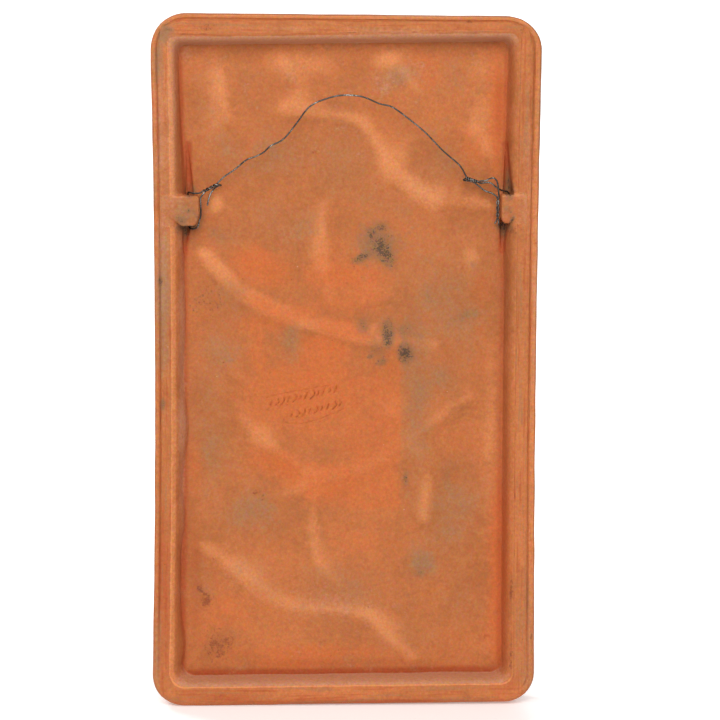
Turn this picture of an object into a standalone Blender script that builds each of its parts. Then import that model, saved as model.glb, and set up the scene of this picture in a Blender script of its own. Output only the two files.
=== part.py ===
"""A terracotta wall plaque with a hollow, hand-pressed back and a twisted iron hanging wire.

The plaque is one pressed clay piece: a shallow tray whose rim lies flat against the wall, with a lug on
each of the recess's side walls. Each lug is pierced from top to bottom, and one length of iron wire
passes through both, is twisted on itself beside each lug, and arches up between them.

+Z is up, the front faces -Y, and the back of the rim lies in the plane y = 0. The origin is on the
middle of the rim's top land. All sizes are metres.
"""
import math
from collections import namedtuple

import bmesh
import bpy
from mathutils import Vector

Sides = namedtuple("Sides", "plus_x minus_x top bottom")
Corners = namedtuple("Corners", "bottom_minus_x bottom_plus_x top_plus_x top_minus_x")

# The plaque as a whole
PLAQUE_WIDTH = 0.190
PLAQUE_HEIGHT = 0.340
PLAQUE_THICKNESS = 0.024
OUTER_RADII = Corners(0.0150, 0.0165, 0.0175, 0.0165)
# How far each side is drawn in at mid height, and how the hand-cut edges tilt, as rise over run
WAIST_PLUS_X = 0.0020
WAIST_MINUS_X = 0.0011
TOP_SLOPE = 0.0055
BOTTOM_SLOPE = -0.0060
RECESS_TOP_SLOPE = -0.0145

# The back: a rounded strip round the rim, the flat land, the sloping wall and the floor
STRIP_WIDTH = Sides(0.0027, 0.0036, 0.0022, 0.0036)
STRIP_DROP = 0.0030
LAND_WIDTH = Sides(0.0053, 0.0070, 0.0066, 0.0059)
WALL_RUN = Sides(0.0058, 0.0053, 0.0052, 0.0040)
RECESS_DEPTH = 0.0120
RECESS_RADII = Corners(0.0060, 0.0080, 0.0035, 0.0040)
SMALLEST_FILLET = 0.0030
# Where the rounded parts of the section bend, as shares of their width and of their drop. The recess's wall
# has a wide soft shoulder, a steep middle and a rounded foot.
STRIP_BEND = (0.35, 0.30)
FRONT_EDGE_BEND = 0.30
WALL_BENDS = ((0.40, 0.09), (0.68, 0.34), (0.88, 0.86))
# The marks of fingers on the floor and the walls' feet are given as shares of these two sizes
FINGER_WIDTH = 0.0120
RIDGE_HEIGHT = 0.0016
# Places where clay swells out of the side walls' feet: side, place as a share of the half height, half length
# as a share of the half height, swelling as a share of a ridge's height
FOOT_SWELLINGS = (
    (1, 0.46, 0.20, 1.15),
    (1, 0.12, 0.12, 0.80),
    (1, -0.19, 0.10, 1.50),
    (1, -0.45, 0.06, 0.90),
    (1, -0.83, 0.07, 1.20),
    (-1, 0.46, 0.16, 0.70),
)

# The front: a raised border round a field that carries a low sprig
FRONT_EDGE_ROUND = 0.0040
BORDER_WIDTH = 0.0120
BORDER_SLOPE = 0.0025
FIELD_DEPTH = 0.0030
SPRIG_RELIEF = 0.0022
SPRIG_BEDDING = 0.0020
# The sprig's stem and leaves, as shares of the plaque's half width or half height
STEM_BEND_SHARE = 0.10
STEM_FOOT_SHARE = -0.78
STEM_THICK_SHARE = 0.034
STEM_THIN_SHARE = 0.022
LEAF_COUNT = 8
FIRST_LEAF_PLACE = -0.66
LAST_LEAF_PLACE = 0.08
FIRST_LEAF_SHARE = 0.66
LAST_LEAF_SHARE = 0.42
LEAF_ANGLE = 42.0
# A leaf's half width and a petal's, as shares of the room that it has between its neighbours
LEAF_FULLNESS = 0.40
PETAL_FULLNESS = 0.66
# The blossom, as shares of the half width. The stem takes one of the places of its ring of petals.
BLOSSOM_PLACE = 0.54
PETAL_PLACES = 8
PETAL_START_SHARE = 0.07
PETAL_SHARE = 0.34
EYE_SHARE = 0.13
EYE_TAPER = 0.60
# Heights of the sprig's edges, tips and stem, as shares of the whole relief
EDGE_LIFT_SHARE = 0.35
TIP_LIFT_SHARE = 0.40
STEM_LIFT_SHARE = 0.80

# The two lugs. Insets are measured inwards from the edge of the rim's land: of the hole at the lug's top and
# at its foot, and of the tips of the grooves above and below it. The wire's shifts are measured inwards from
# the hole's axis at its top. The chamfer is at the lower inner corner.
Lug = namedtuple("Lug", "side top reach height chamfer_run chamfer_height hole_inset foot_inset "
                        "upper_tip_inset lower_tip_inset wire_shift wire_foot_shift")
LUGS = (
    Lug(side=1, top=0.0826, reach=0.0143, height=0.0148, chamfer_run=0.0014, chamfer_height=0.0050,
        hole_inset=0.0098, foot_inset=0.0083, upper_tip_inset=0.0087, lower_tip_inset=0.0070,
        wire_shift=-0.0008, wire_foot_shift=-0.0006),
    Lug(side=-1, top=0.0834, reach=0.0080, height=0.0140, chamfer_run=0.0006, chamfer_height=0.0030,
        hole_inset=0.0042, foot_inset=0.0060, upper_tip_inset=0.0050, lower_tip_inset=0.0066,
        wire_shift=-0.0010, wire_foot_shift=0.0018),
)
LUG_FACE_SETBACK = 0.0003
LUG_FILLET = 0.0035
LUG_CORNER = 0.0012
LUG_EDGE_BEVEL = 0.0008
LUG_FOOT_NOTCH = 0.0030
LUG_BEDDING = 0.0030
LUG_ROOT = 0.0035
HOLE_DIAMETER = 0.0040
HOLE_DEPTH = 0.0112
# The tapering open grooves that the piercing tool left above and below each lug. Depths are of the axis of
# the groove's round bottom.
GROOVE_WIDTH = 0.0042
GROOVE_TIP_WIDTH = 0.0012
GROOVE_DEPTH = 0.0125
GROOVE_TIP_DEPTH = 0.0112
GROOVE_OVERRUN = 0.0010
UPPER_GROOVE_LENGTH = 0.024
LOWER_GROOVE_LENGTH = 0.014

# The wire
WIRE_DIAMETER = 0.0008
WIRE_CLEARANCE = 0.0005
TWIST_RADIUS = 0.0005
TWIST_TURNS = 2
MINUS_X_KNOT_TURNS = 2.5
SIDE_STRAND_Y = -0.0051
ARCH_END_Y = -0.0055
ARCH_TOP_Y = -0.0025
ARCH_RISE = 0.0430
# The wire's route beside each lug, bent by hand. Each point is measured inwards from the axis of the lug's
# hole, then comes its depth y, then its height above the lug's top or, in the lists named BELOW, its bottom.
PLUS_X_KNOT_OUTER = (0.0139, -0.0055, 0.0056)
PLUS_X_KNOT_INNER = (0.0071, -0.0055, 0.0020)
PLUS_X_TAIL = (
    (0.0086, -0.0068, -0.0052), (0.0091, -0.0070, -0.0026), (0.0099, -0.0073, 0.0000),
    (0.0117, -0.0076, 0.0028), (0.0138, -0.0076, 0.0043), (0.0153, -0.0068, 0.0047),
)
PLUS_X_UNDER_BELOW = ((0.0008, -0.0084, -0.0018), (-0.0004, -0.0102, -0.0008))
PLUS_X_LEAVING = (
    (-0.0008, -0.0096, 0.0010), (-0.0003, -0.0077, 0.0012), (0.0012, -0.0064, 0.0010),
    (0.0032, -0.0059, 0.0009), (0.0053, -0.0057, 0.0012),
)
MINUS_X_KNOT_OUTER = (0.0206, -0.0055, 0.0077)
MINUS_X_KNOT_INNER = (0.0152, -0.0055, 0.0060)
MINUS_X_ENTERING = (
    (0.0136, -0.0066, 0.0052), (0.0110, -0.0068, 0.0055), (0.0086, -0.0069, 0.0053),
    (0.0064, -0.0071, 0.0036), (0.0044, -0.0077, 0.0022), (0.0022, -0.0088, 0.0013),
    (0.0000, -0.0103, 0.0007),
)
MINUS_X_UNDER_BELOW = (
    (0.0022, -0.0104, -0.0006), (0.0030, -0.0086, -0.0014), (0.0042, -0.0068, -0.0012),
    (0.0047, -0.0058, -0.0004),
)
MINUS_X_HUMP = (
    (0.0050, -0.0044, 0.0014), (0.0053, -0.0040, 0.0042), (0.0061, -0.0039, 0.0068),
    (0.0075, -0.0040, 0.0079), (0.0092, -0.0043, 0.0076), (0.0114, -0.0046, 0.0066),
    (0.0138, -0.0046, 0.0064),
)
MINUS_X_TURNING = (
    (0.0220, -0.0067, 0.0068), (0.0211, -0.0077, 0.0064), (0.0190, -0.0079, 0.0062),
    (0.0166, -0.0078, 0.0054),
)
MINUS_X_LOWER_ARC = ((0.0142, -0.0076, 0.0036), (0.0112, -0.0072, 0.0014), (0.0082, -0.0068, 0.0004))
# The arch between its two knots: share of the span from the +X knot, and share of the rise
ARCH_SHAPE = (
    (0.024, 0.08), (0.065, 0.16), (0.113, 0.27), (0.150, 0.31), (0.183, 0.36), (0.210, 0.43),
    (0.247, 0.48), (0.276, 0.55), (0.320, 0.71), (0.345, 0.81), (0.369, 0.88), (0.409, 0.94),
    (0.486, 1.00), (0.572, 0.99), (0.645, 0.91), (0.698, 0.87), (0.768, 0.73), (0.833, 0.58),
    (0.903, 0.38), (0.969, 0.22), (0.994, 0.11),
)

# Fineness of the faceted surfaces
CORNER_STEPS = 3
COLUMNS = 22
ROWS = 42
ROUND_STEPS = 16
STEPS_PER_TURN = 6
WIRE_STEP = 0.0060

# Worked out from the sizes above
HALF_WIDTH = PLAQUE_WIDTH / 2
HALF_HEIGHT = PLAQUE_HEIGHT / 2
FRONT_Y = -PLAQUE_THICKNESS
FIELD_Y = FRONT_Y + FIELD_DEPTH
PLAQUE_CENTRE_Z = -(HALF_HEIGHT - STRIP_WIDTH.top - LAND_WIDTH.top / 2)

# Ridges and hollows that fingers left in the floor. Points are shares of the half width and half height, then
# come the mark's half width as a share of a finger's width and its height as a share of a ridge's height,
# which is negative for a hollow.
FLOOR_MARKS = (
    (((0.31, 0.73), (0.11, 0.72), (-0.07, 0.70), (-0.16, 0.64), (-0.24, 0.56), (-0.36, 0.50),
      (-0.47, 0.46)), 0.54, 1.00),
    (((-0.50, 0.50), (-0.78, 0.45)), 0.50, 0.62),
    (((0.67, 0.46),), 0.54, 0.75),
    (((0.73, 0.31), (0.62, 0.24), (0.44, 0.16), (0.25, 0.12), (0.05, 0.09), (-0.16, 0.06),
      (-0.47, 0.05)), 0.50, 0.94),
    (((0.11, 0.46), (0.12, 0.33), (0.09, 0.21)), 0.46, 0.50),
    (((0.45, 0.09), (0.43, 0.00)), 0.46, 0.31),
    (((0.67, 0.04), (0.59, -0.02), (0.49, -0.09)), 0.50, 0.50),
    (((0.53, -0.16), (0.41, -0.23), (0.25, -0.30), (0.11, -0.34)), 0.50, 0.88),
    (((0.31, -0.39), (0.13, -0.35), (-0.11, -0.31), (-0.29, -0.25), (-0.44, -0.18),
      (-0.65, -0.10)), 0.50, 0.69),
    (((-0.39, -0.27), (-0.43, -0.36), (-0.42, -0.46)), 0.50, 0.81),
    (((0.15, -0.37), (0.16, -0.50), (0.12, -0.59), (0.03, -0.65)), 0.50, 0.56),
    (((0.73, -0.54), (0.57, -0.60), (0.41, -0.68), (0.23, -0.72), (0.02, -0.73), (-0.14, -0.75),
      (-0.24, -0.81), (-0.36, -0.87)), 0.54, 0.81),
    (((0.65, 0.83), (0.61, 0.71)), 0.54, 0.56),
    (((0.34, 0.87), (0.23, 0.78)), 0.50, 0.44),
    (((-0.22, 0.87), (-0.37, 0.79)), 0.46, 0.69),
    (((-0.66, 0.67), (-0.76, 0.60)), 0.50, 0.56),
    (((-0.24, -0.15),), 0.67, 0.62),
    (((-0.65, 0.32), (-0.64, 0.20)), 0.50, 0.44),
    (((0.25, 0.26),), 0.83, -0.50),
    (((0.52, -0.02),), 0.92, -0.37),
    (((-0.58, -0.34),), 1.00, -0.75),
    (((0.0, 0.40), (-0.25, 0.30)), 1.17, -0.37),
    (((-0.20, -0.50), (-0.30, -0.62)), 1.25, -0.44),
    (((0.35, -0.50),), 1.17, -0.37),
    (((0.0, -0.86),), 1.08, -0.44),
    (((-0.05, 0.84),), 1.08, -0.37),
)


def remove_everything():
    """Empties the scene, so that the file holds the plaque alone."""
    for old_object in list(bpy.data.objects):
        bpy.data.objects.remove(old_object, do_unlink=True)


def make_material(name, colour, roughness, metallic):
    """A Principled material with the piece's colour, roughness and metallic value."""
    material = bpy.data.materials.new(name)
    material.use_nodes = True
    shader = material.node_tree.nodes["Principled BSDF"]
    shader.inputs["Base Color"].default_value = (*colour, 1.0)
    shader.inputs["Roughness"].default_value = roughness
    shader.inputs["Metallic"].default_value = metallic
    return material


def object_from_faces(name, vertices, faces, triangulate=False):
    """A mesh object from points and faces, with its faces turned outwards."""
    shape = bmesh.new()
    points = [shape.verts.new(vertex) for vertex in vertices]
    for face in faces:
        shape.faces.new([points[index] for index in face])
    if triangulate:
        bmesh.ops.triangulate(shape, faces=[face for face in shape.faces if len(face.verts) == 4])
    bmesh.ops.recalc_face_normals(shape, faces=shape.faces)
    mesh = bpy.data.meshes.new(name)
    shape.to_mesh(mesh)
    shape.free()
    new_object = bpy.data.objects.new(name, mesh)
    bpy.context.scene.collection.objects.link(new_object)
    return new_object


def shade_round(target, sharp_angle_degrees):
    """Smooth shading, with edges sharper than the angle kept crisp."""
    target.data.shade_smooth()
    target.data.set_sharp_from_angle(angle=math.radians(sharp_angle_degrees))


def make_guide(target, collection):
    """Keeps an operand of a Boolean out of the finished part."""
    bpy.context.scene.collection.objects.unlink(target)
    collection.objects.link(target)
    target.hide_render = True
    target.display_type = "WIRE"


def between(first, last, share):
    """A value part of the way from the first to the last."""
    return first + (last - first) * share


def sides_sum(first, second, share=1.0):
    """The first widths, with a share of the second added side by side."""
    return Sides(*(one + share * other for one, other in zip(first, second)))


def all_round(width):
    """One width on every side."""
    return Sides(width, width, width, width)


def tightened(radii, inset):
    """Corner radii a distance further in, never less than a small fillet."""
    return Corners(*(max(radius - inset, SMALLEST_FILLET) for radius in radii))


def arc_point(centre, radius, angle_degrees):
    angle = math.radians(angle_degrees)
    return centre[0] + radius * math.cos(angle), centre[1] + radius * math.sin(angle)


def rounded_perimeter(low_x, high_x, low_z, high_z, radii):
    """Points round a rectangle with rounded corners, from the middle of the bottom -X corner to +X and up."""
    corners = (
        (low_x + radii.bottom_minus_x, low_z + radii.bottom_minus_x, radii.bottom_minus_x, 180),
        (high_x - radii.bottom_plus_x, low_z + radii.bottom_plus_x, radii.bottom_plus_x, 270),
        (high_x - radii.top_plus_x, high_z - radii.top_plus_x, radii.top_plus_x, 0),
        (low_x + radii.top_minus_x, high_z - radii.top_minus_x, radii.top_minus_x, 90),
    )
    points = []
    for index, corner in enumerate(corners):
        following = corners[(index + 1) % len(corners)]
        straight_steps = COLUMNS if index % 2 == 0 else ROWS
        leaving = arc_point(corner[:2], corner[2], corner[3] + 90)
        arriving = arc_point(following[:2], following[2], following[3])
        for step in range(CORNER_STEPS):
            points.append(arc_point(corner[:2], corner[2], corner[3] + 45 + 45 * step / CORNER_STEPS))
        for step in range(straight_steps):
            share = step / straight_steps
            points.append(tuple(a + share * (b - a) for a, b in zip(leaving, arriving)))
        for step in range(CORNER_STEPS):
            points.append(arc_point(following[:2], following[2], following[3] + 45 * step / CORNER_STEPS))
    return points


def hand_shaped(x, z, top_slope, bottom_slope):
    """Draws the sides in at mid height and tilts the top and bottom edges."""
    height_share = z / HALF_HEIGHT
    waist = WAIST_PLUS_X if x > 0 else WAIST_MINUS_X
    drawn_x = x - waist * (1 - height_share ** 2) * x / HALF_WIDTH
    tilt = top_slope * (1 + height_share) / 2 + bottom_slope * (1 - height_share) / 2
    return drawn_x, z + tilt * x


def ring(inset, radii, y, top_slope=TOP_SLOPE):
    """One closed line round the plaque, a set distance in from its outline, at depth y."""
    points = rounded_perimeter(-HALF_WIDTH + inset.minus_x, HALF_WIDTH - inset.plus_x,
                               -HALF_HEIGHT + inset.bottom, HALF_HEIGHT - inset.top, radii)
    shaped = [hand_shaped(x, z, top_slope, BOTTOM_SLOPE) for x, z in points]
    return [Vector((x, y, z)) for x, z in shaped]


def foot_swelling(x, z):
    """How far the wall's foot stands out into the recess at a point beside it."""
    total = 0.0
    for side, place, half_length, swelling in FOOT_SWELLINGS:
        if side * x > 0:
            total += RIDGE_HEIGHT * swelling * math.exp(-((z / HALF_HEIGHT - place) / half_length) ** 2)
    return total


def swollen(points, share):
    """A ring near the foot of the wall, with the swellings pushed into the recess."""
    return [Vector((p.x - math.copysign(share * foot_swelling(p.x, p.z), p.x), p.y, p.z)) for p in points]


def distance_to_path(x, z, path):
    """Shortest distance from a point to a run of straight pieces, or to its only point."""
    if len(path) == 1:
        return math.hypot(x - path[0][0], z - path[0][1])
    shortest = math.inf
    for (start_x, start_z), (end_x, end_z) in zip(path, path[1:]):
        run_x = end_x - start_x
        run_z = end_z - start_z
        along = ((x - start_x) * run_x + (z - start_z) * run_z) / (run_x ** 2 + run_z ** 2)
        along = min(max(along, 0.0), 1.0)
        shortest = min(shortest, math.hypot(x - start_x - along * run_x, z - start_z - along * run_z))
    return shortest


def floor_y(x, z):
    """Depth of the hand-pressed floor at a point."""
    depth = -RECESS_DEPTH
    for shares, half_width, height in FLOOR_MARKS:
        path = [(share_x * HALF_WIDTH, share_z * HALF_HEIGHT) for share_x, share_z in shares]
        away = distance_to_path(x, z, path) / (half_width * FINGER_WIDTH)
        depth += height * RIDGE_HEIGHT * math.exp(-away ** 2)
    return depth


def rim_rings():
    """The plaque's section carried round it: from the front field, over the rim, down to the floor."""
    land_end = sides_sum(STRIP_WIDTH, LAND_WIDTH)
    border_edge = BORDER_WIDTH - BORDER_SLOPE
    bend = FRONT_EDGE_ROUND * FRONT_EDGE_BEND
    strip_bend = sides_sum(all_round(0.0), STRIP_WIDTH, STRIP_BEND[0])
    front = [
        ring(all_round(BORDER_WIDTH), tightened(OUTER_RADII, BORDER_WIDTH), FIELD_Y),
        ring(all_round(border_edge), tightened(OUTER_RADII, border_edge), FRONT_Y),
        ring(all_round(FRONT_EDGE_ROUND), tightened(OUTER_RADII, FRONT_EDGE_ROUND), FRONT_Y),
        ring(all_round(bend), tightened(OUTER_RADII, bend), FRONT_Y + bend),
        ring(all_round(0.0), OUTER_RADII, FRONT_Y + FRONT_EDGE_ROUND),
    ]
    back = [
        ring(all_round(0.0), OUTER_RADII, -STRIP_DROP),
        ring(strip_bend, tightened(OUTER_RADII, strip_bend.plus_x), -STRIP_DROP * STRIP_BEND[1]),
        ring(STRIP_WIDTH, tightened(OUTER_RADII, STRIP_WIDTH.plus_x), 0.0),
        ring(land_end, RECESS_RADII, 0.0, RECESS_TOP_SLOPE),
    ]
    wall = []
    for run_share, depth_share in WALL_BENDS:
        level = ring(sides_sum(land_end, WALL_RUN, run_share), RECESS_RADII, -RECESS_DEPTH * depth_share,
                     RECESS_TOP_SLOPE)
        wall.append(swollen(level, depth_share))
    floor_edge = ring(sides_sum(land_end, WALL_RUN), RECESS_RADII, -RECESS_DEPTH, RECESS_TOP_SLOPE)
    return front + back + wall + [swollen(floor_edge, 1.0)]


def floor_grid(edge):
    """Points of the floor, spread evenly between the four sides of its edge, as rows from the bottom up."""
    across = COLUMNS + 2 * CORNER_STEPS
    upward = ROWS + 2 * CORNER_STEPS
    bottom = edge[:across + 1]
    plus_side = edge[across:across + upward + 1]
    top = edge[across + upward:2 * across + upward + 1][::-1]
    minus_side = (edge[2 * across + upward:] + edge[:1])[::-1]
    rows = []
    for row in range(upward + 1):
        v = (minus_side[row].z - minus_side[0].z) / (minus_side[-1].z - minus_side[0].z)
        line = []
        for column in range(across + 1):
            u = (bottom[column].x - bottom[0].x) / (bottom[-1].x - bottom[0].x)
            along = bottom[column].lerp(top[column], v)
            beside = minus_side[row].lerp(plus_side[row], u)
            corners = bottom[0].lerp(bottom[-1], u).lerp(top[0].lerp(top[-1], u), v)
            line.append(along + beside - corners)
        rows.append(line)
    return rows


def plaque_body():
    """The clay tray without its lugs, holes and sprig, as one closed mesh."""
    rings = rim_rings()
    count = len(rings[0])
    vertices = [point for points in rings[:-1] for point in points]
    faces = [tuple(range(count))]
    for level in range(len(rings) - 2):
        for index in range(count):
            following = (index + 1) % count
            faces.append((level * count + index, level * count + following,
                          (level + 1) * count + following, (level + 1) * count + index))
    rows = floor_grid(rings[-1])
    across = len(rows[0])
    first_floor_vertex = len(vertices)
    for line in rows:
        vertices.extend(Vector((p.x, floor_y(p.x, p.z), p.z)) for p in line)
    for row in range(len(rows) - 1):
        for column in range(across - 1):
            start = first_floor_vertex + row * across + column
            faces.append((start, start + 1, start + across + 1, start + across))
    grid_walk = [(0, column) for column in range(across - 1)]
    grid_walk += [(row, across - 1) for row in range(len(rows) - 1)]
    grid_walk += [(len(rows) - 1, across - 1 - column) for column in range(across - 1)]
    grid_walk += [(len(rows) - 1 - row, 0) for row in range(len(rows) - 1)]
    edge = [first_floor_vertex + row * across + column for row, column in grid_walk]
    wall_level = (len(rings) - 2) * count
    for index in range(count):
        following = (index + 1) % count
        faces.append((wall_level + index, wall_level + following, edge[following], edge[index]))
    return object_from_faces("plaque", vertices, faces, triangulate=True)


def rim_edge_x(side, z):
    """Where the land ends and the recess begins on one side, at a height."""
    land_end = sides_sum(STRIP_WIDTH, LAND_WIDTH)
    inset = land_end.plus_x if side > 0 else land_end.minus_x
    return hand_shaped(side * (HALF_WIDTH - inset), z, 0.0, 0.0)[0]


def inset_x(lug, inset):
    """A place across the plaque, from its distance inwards from the rim's edge beside a lug."""
    return rim_edge_x(lug.side, lug.top) - lug.side * inset


def lug_outline(lug):
    """The lug seen from behind: distance in from the rim's edge, and distance down from the lug's top."""
    points = [(-LUG_ROOT, LUG_FILLET)]
    for step in range(CORNER_STEPS + 1):
        angle = 180 + 90 * step / CORNER_STEPS
        points.append(arc_point((LUG_FILLET, LUG_FILLET), LUG_FILLET, angle))
    for step in range(CORNER_STEPS + 1):
        angle = 90 - 90 * step / CORNER_STEPS
        points.append(arc_point((lug.reach - LUG_CORNER, -LUG_CORNER), LUG_CORNER, angle))
    points += [
        (lug.reach, lug.chamfer_height - lug.height),
        (lug.reach - lug.chamfer_run, LUG_CORNER - lug.height),
        (lug.reach - lug.chamfer_run - LUG_CORNER, -lug.height),
        (lug.foot_inset - HOLE_DIAMETER / 2, -lug.height),
        (LUG_CORNER, LUG_FOOT_NOTCH - lug.height),
        (-LUG_ROOT, LUG_FOOT_NOTCH + LUG_CORNER - lug.height),
    ]
    return points


def lug_solid(lug):
    """A stub that stands out of the recess's wall, flush with the rim and bedded in the floor."""
    edge_x = rim_edge_x(lug.side, lug.top)
    outline = [(edge_x - lug.side * inward, lug.top + up) for inward, up in lug_outline(lug)]
    count = len(outline)
    face_y = -LUG_FACE_SETBACK
    base_y = -RECESS_DEPTH - LUG_BEDDING
    vertices = [Vector((x, face_y, z)) for x, z in outline]
    vertices += [Vector((x, base_y, z)) for x, z in outline]
    faces = [tuple(range(count)), tuple(range(2 * count - 1, count - 1, -1))]
    for index in range(count):
        following = (index + 1) % count
        faces.append((index, following, count + following, count + index))
    name = "lug_plus_x" if lug.side > 0 else "lug_minus_x"
    solid = object_from_faces(name, vertices, faces)
    bevel = solid.modifiers.new("soft_edges", "BEVEL")
    bevel.width = LUG_EDGE_BEVEL
    bevel.segments = 2
    bevel.angle_limit = math.radians(50)
    return solid


def tapered_rod(name, start, end, start_width, end_width):
    """A round rod between two points, for cutting a hole or a tapering groove."""
    shape = bmesh.new()
    length = (end - start).length
    bmesh.ops.create_cone(shape, cap_ends=True, segments=ROUND_STEPS, radius1=start_width / 2,
                          radius2=end_width / 2, depth=length)
    mesh = bpy.data.meshes.new(name)
    shape.to_mesh(mesh)
    shape.free()
    rod = bpy.data.objects.new(name, mesh)
    rod.location = (start + end) / 2
    rod.rotation_mode = "QUATERNION"
    rod.rotation_quaternion = (end - start).to_track_quat("Z", "Y")
    bpy.context.scene.collection.objects.link(rod)
    return rod


def open_groove(name, start, end):
    """A cutter with a round bottom that is open to the back, and tapers. Start and end are X and Z."""
    half_steps = ROUND_STEPS // 2
    sections = ((start, GROOVE_WIDTH / 2, -GROOVE_DEPTH), (end, GROOVE_TIP_WIDTH / 2, -GROOVE_TIP_DEPTH))
    vertices = []
    for (x, z), radius, axis_y in sections:
        vertices.append(Vector((x + radius, GROOVE_OVERRUN, z)))
        for step in range(half_steps + 1):
            angle = math.pi * step / half_steps
            vertices.append(Vector((x + radius * math.cos(angle), axis_y - radius * math.sin(angle), z)))
        vertices.append(Vector((x - radius, GROOVE_OVERRUN, z)))
    count = len(vertices) // 2
    faces = [tuple(range(count)), tuple(range(2 * count - 1, count - 1, -1))]
    for index in range(count):
        following = (index + 1) % count
        faces.append((index, following, count + following, count + index))
    return object_from_faces(name, vertices, faces)


def lug_cutters(lug):
    """The slanting hole through a lug and the grooves above and below it."""
    name = "plus_x" if lug.side > 0 else "minus_x"
    top = Vector((inset_x(lug, lug.hole_inset), -HOLE_DEPTH, lug.top))
    foot = Vector((inset_x(lug, lug.foot_inset), -HOLE_DEPTH, lug.top - lug.height))
    overrun = (top - foot).normalized() * HOLE_DIAMETER / 2
    hole = tapered_rod(f"hole_{name}", foot - overrun, top + overrun, HOLE_DIAMETER, HOLE_DIAMETER)
    upper = open_groove(f"upper_groove_{name}", (top.x, top.z),
                        (inset_x(lug, lug.upper_tip_inset), top.z + UPPER_GROOVE_LENGTH))
    lower = open_groove(f"lower_groove_{name}", (foot.x, foot.z),
                        (inset_x(lug, lug.lower_tip_inset), foot.z - LOWER_GROOVE_LENGTH))
    return [hole, upper, lower]


def leaf_solid(name, base, direction, length, half_width, relief, steps=5):
    """A pointed leaf with a raised midrib, bedded in the front field. Base and direction are in X and Z."""
    along = Vector((direction[0], 0.0, direction[1])).normalized()
    across = Vector((-along.z, 0.0, along.x))
    start = Vector((base[0], FIELD_Y, base[1]))
    shares = [step / steps for step in range(steps + 1)]
    widths = [half_width * math.sin(math.pi * share ** 0.8) for share in shares]
    centre = [start + along * (length * share) for share in shares]
    outline = list(centre[:1])
    outline += [centre[i] + across * widths[i] for i in range(1, steps)]
    outline += list(centre[-1:])
    outline += [centre[i] - across * widths[i] for i in range(steps - 1, 0, -1)]
    edge_lift = Vector((0.0, -relief * EDGE_LIFT_SHARE, 0.0))
    bedding = Vector((0.0, SPRIG_BEDDING, 0.0))
    rib_reliefs = [between(TIP_LIFT_SHARE, 1.0, math.sin(math.pi * share)) * relief for share in shares]
    rib = [centre[i] + Vector((0.0, -rib_reliefs[i], 0.0)) for i in range(1, steps)]
    count = len(outline)
    vertices = [point + bedding for point in outline] + [point + edge_lift for point in outline] + rib
    faces = [tuple(range(count))]
    for index in range(count):
        following = (index + 1) % count
        faces.append((index, following, count + following, count + index))
    first_rib = 2 * count
    last_rib = first_rib + len(rib) - 1
    faces.append((count, count + 1, first_rib))
    faces.append((count, first_rib, count + count - 1))
    faces.append((count + steps, last_rib, count + steps - 1))
    faces.append((count + steps, count + steps + 1, last_rib))
    for index in range(len(rib) - 1):
        faces.append((count + 1 + index, count + 2 + index, first_rib + index + 1, first_rib + index))
        faces.append((2 * count - 1 - index, first_rib + index, first_rib + index + 1, 2 * count - 2 - index))
    return object_from_faces(name, vertices, faces, triangulate=True)


def stem_x(z):
    """The stem's gentle double bend across the field."""
    return STEM_BEND_SHARE * HALF_WIDTH * math.sin(1.5 * math.pi * z / HALF_HEIGHT)


def stem_solid():
    """The sprig's stem, a ridge that follows the bend and thins as it rises to the blossom's eye."""
    steps = 14
    vertices = []
    faces = []
    for step in range(steps + 1):
        share = step / steps
        z = HALF_HEIGHT * between(STEM_FOOT_SHARE, BLOSSOM_PLACE, share)
        half = HALF_WIDTH * between(STEM_THICK_SHARE, STEM_THIN_SHARE, share)
        x = stem_x(z)
        vertices.append(Vector((x - half, FIELD_Y + SPRIG_BEDDING, z)))
        vertices.append(Vector((x + half, FIELD_Y + SPRIG_BEDDING, z)))
        vertices.append(Vector((x, FIELD_Y - SPRIG_RELIEF * STEM_LIFT_SHARE, z)))
    for step in range(steps):
        start = 3 * step
        for side in range(3):
            following = (side + 1) % 3
            faces.append((start + side, start + following, start + 3 + following, start + 3 + side))
    faces += [(0, 1, 2), (3 * steps, 3 * steps + 1, 3 * steps + 2)]
    return object_from_faces("stem", vertices, faces, triangulate=True)


def sprig_leaves():
    """Leaves that stand off the stem by turns to either side and shorten upwards."""
    leaves = []
    angle = math.radians(LEAF_ANGLE)
    same_side_gap = 2 * HALF_HEIGHT * (LAST_LEAF_PLACE - FIRST_LEAF_PLACE) / (LEAF_COUNT - 1)
    room = same_side_gap * math.sin(angle)
    for index in range(LEAF_COUNT):
        share = index / (LEAF_COUNT - 1)
        side = 1 if index % 2 == 0 else -1
        z = HALF_HEIGHT * between(FIRST_LEAF_PLACE, LAST_LEAF_PLACE, share)
        shortening = between(FIRST_LEAF_SHARE, LAST_LEAF_SHARE, share)
        direction = (side * math.sin(angle), math.cos(angle))
        half_width = room * LEAF_FULLNESS * shortening / FIRST_LEAF_SHARE
        leaves.append(leaf_solid(f"leaf_{index}", (stem_x(z), z), direction, HALF_WIDTH * shortening,
                                 half_width, SPRIG_RELIEF))
    return leaves


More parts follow.
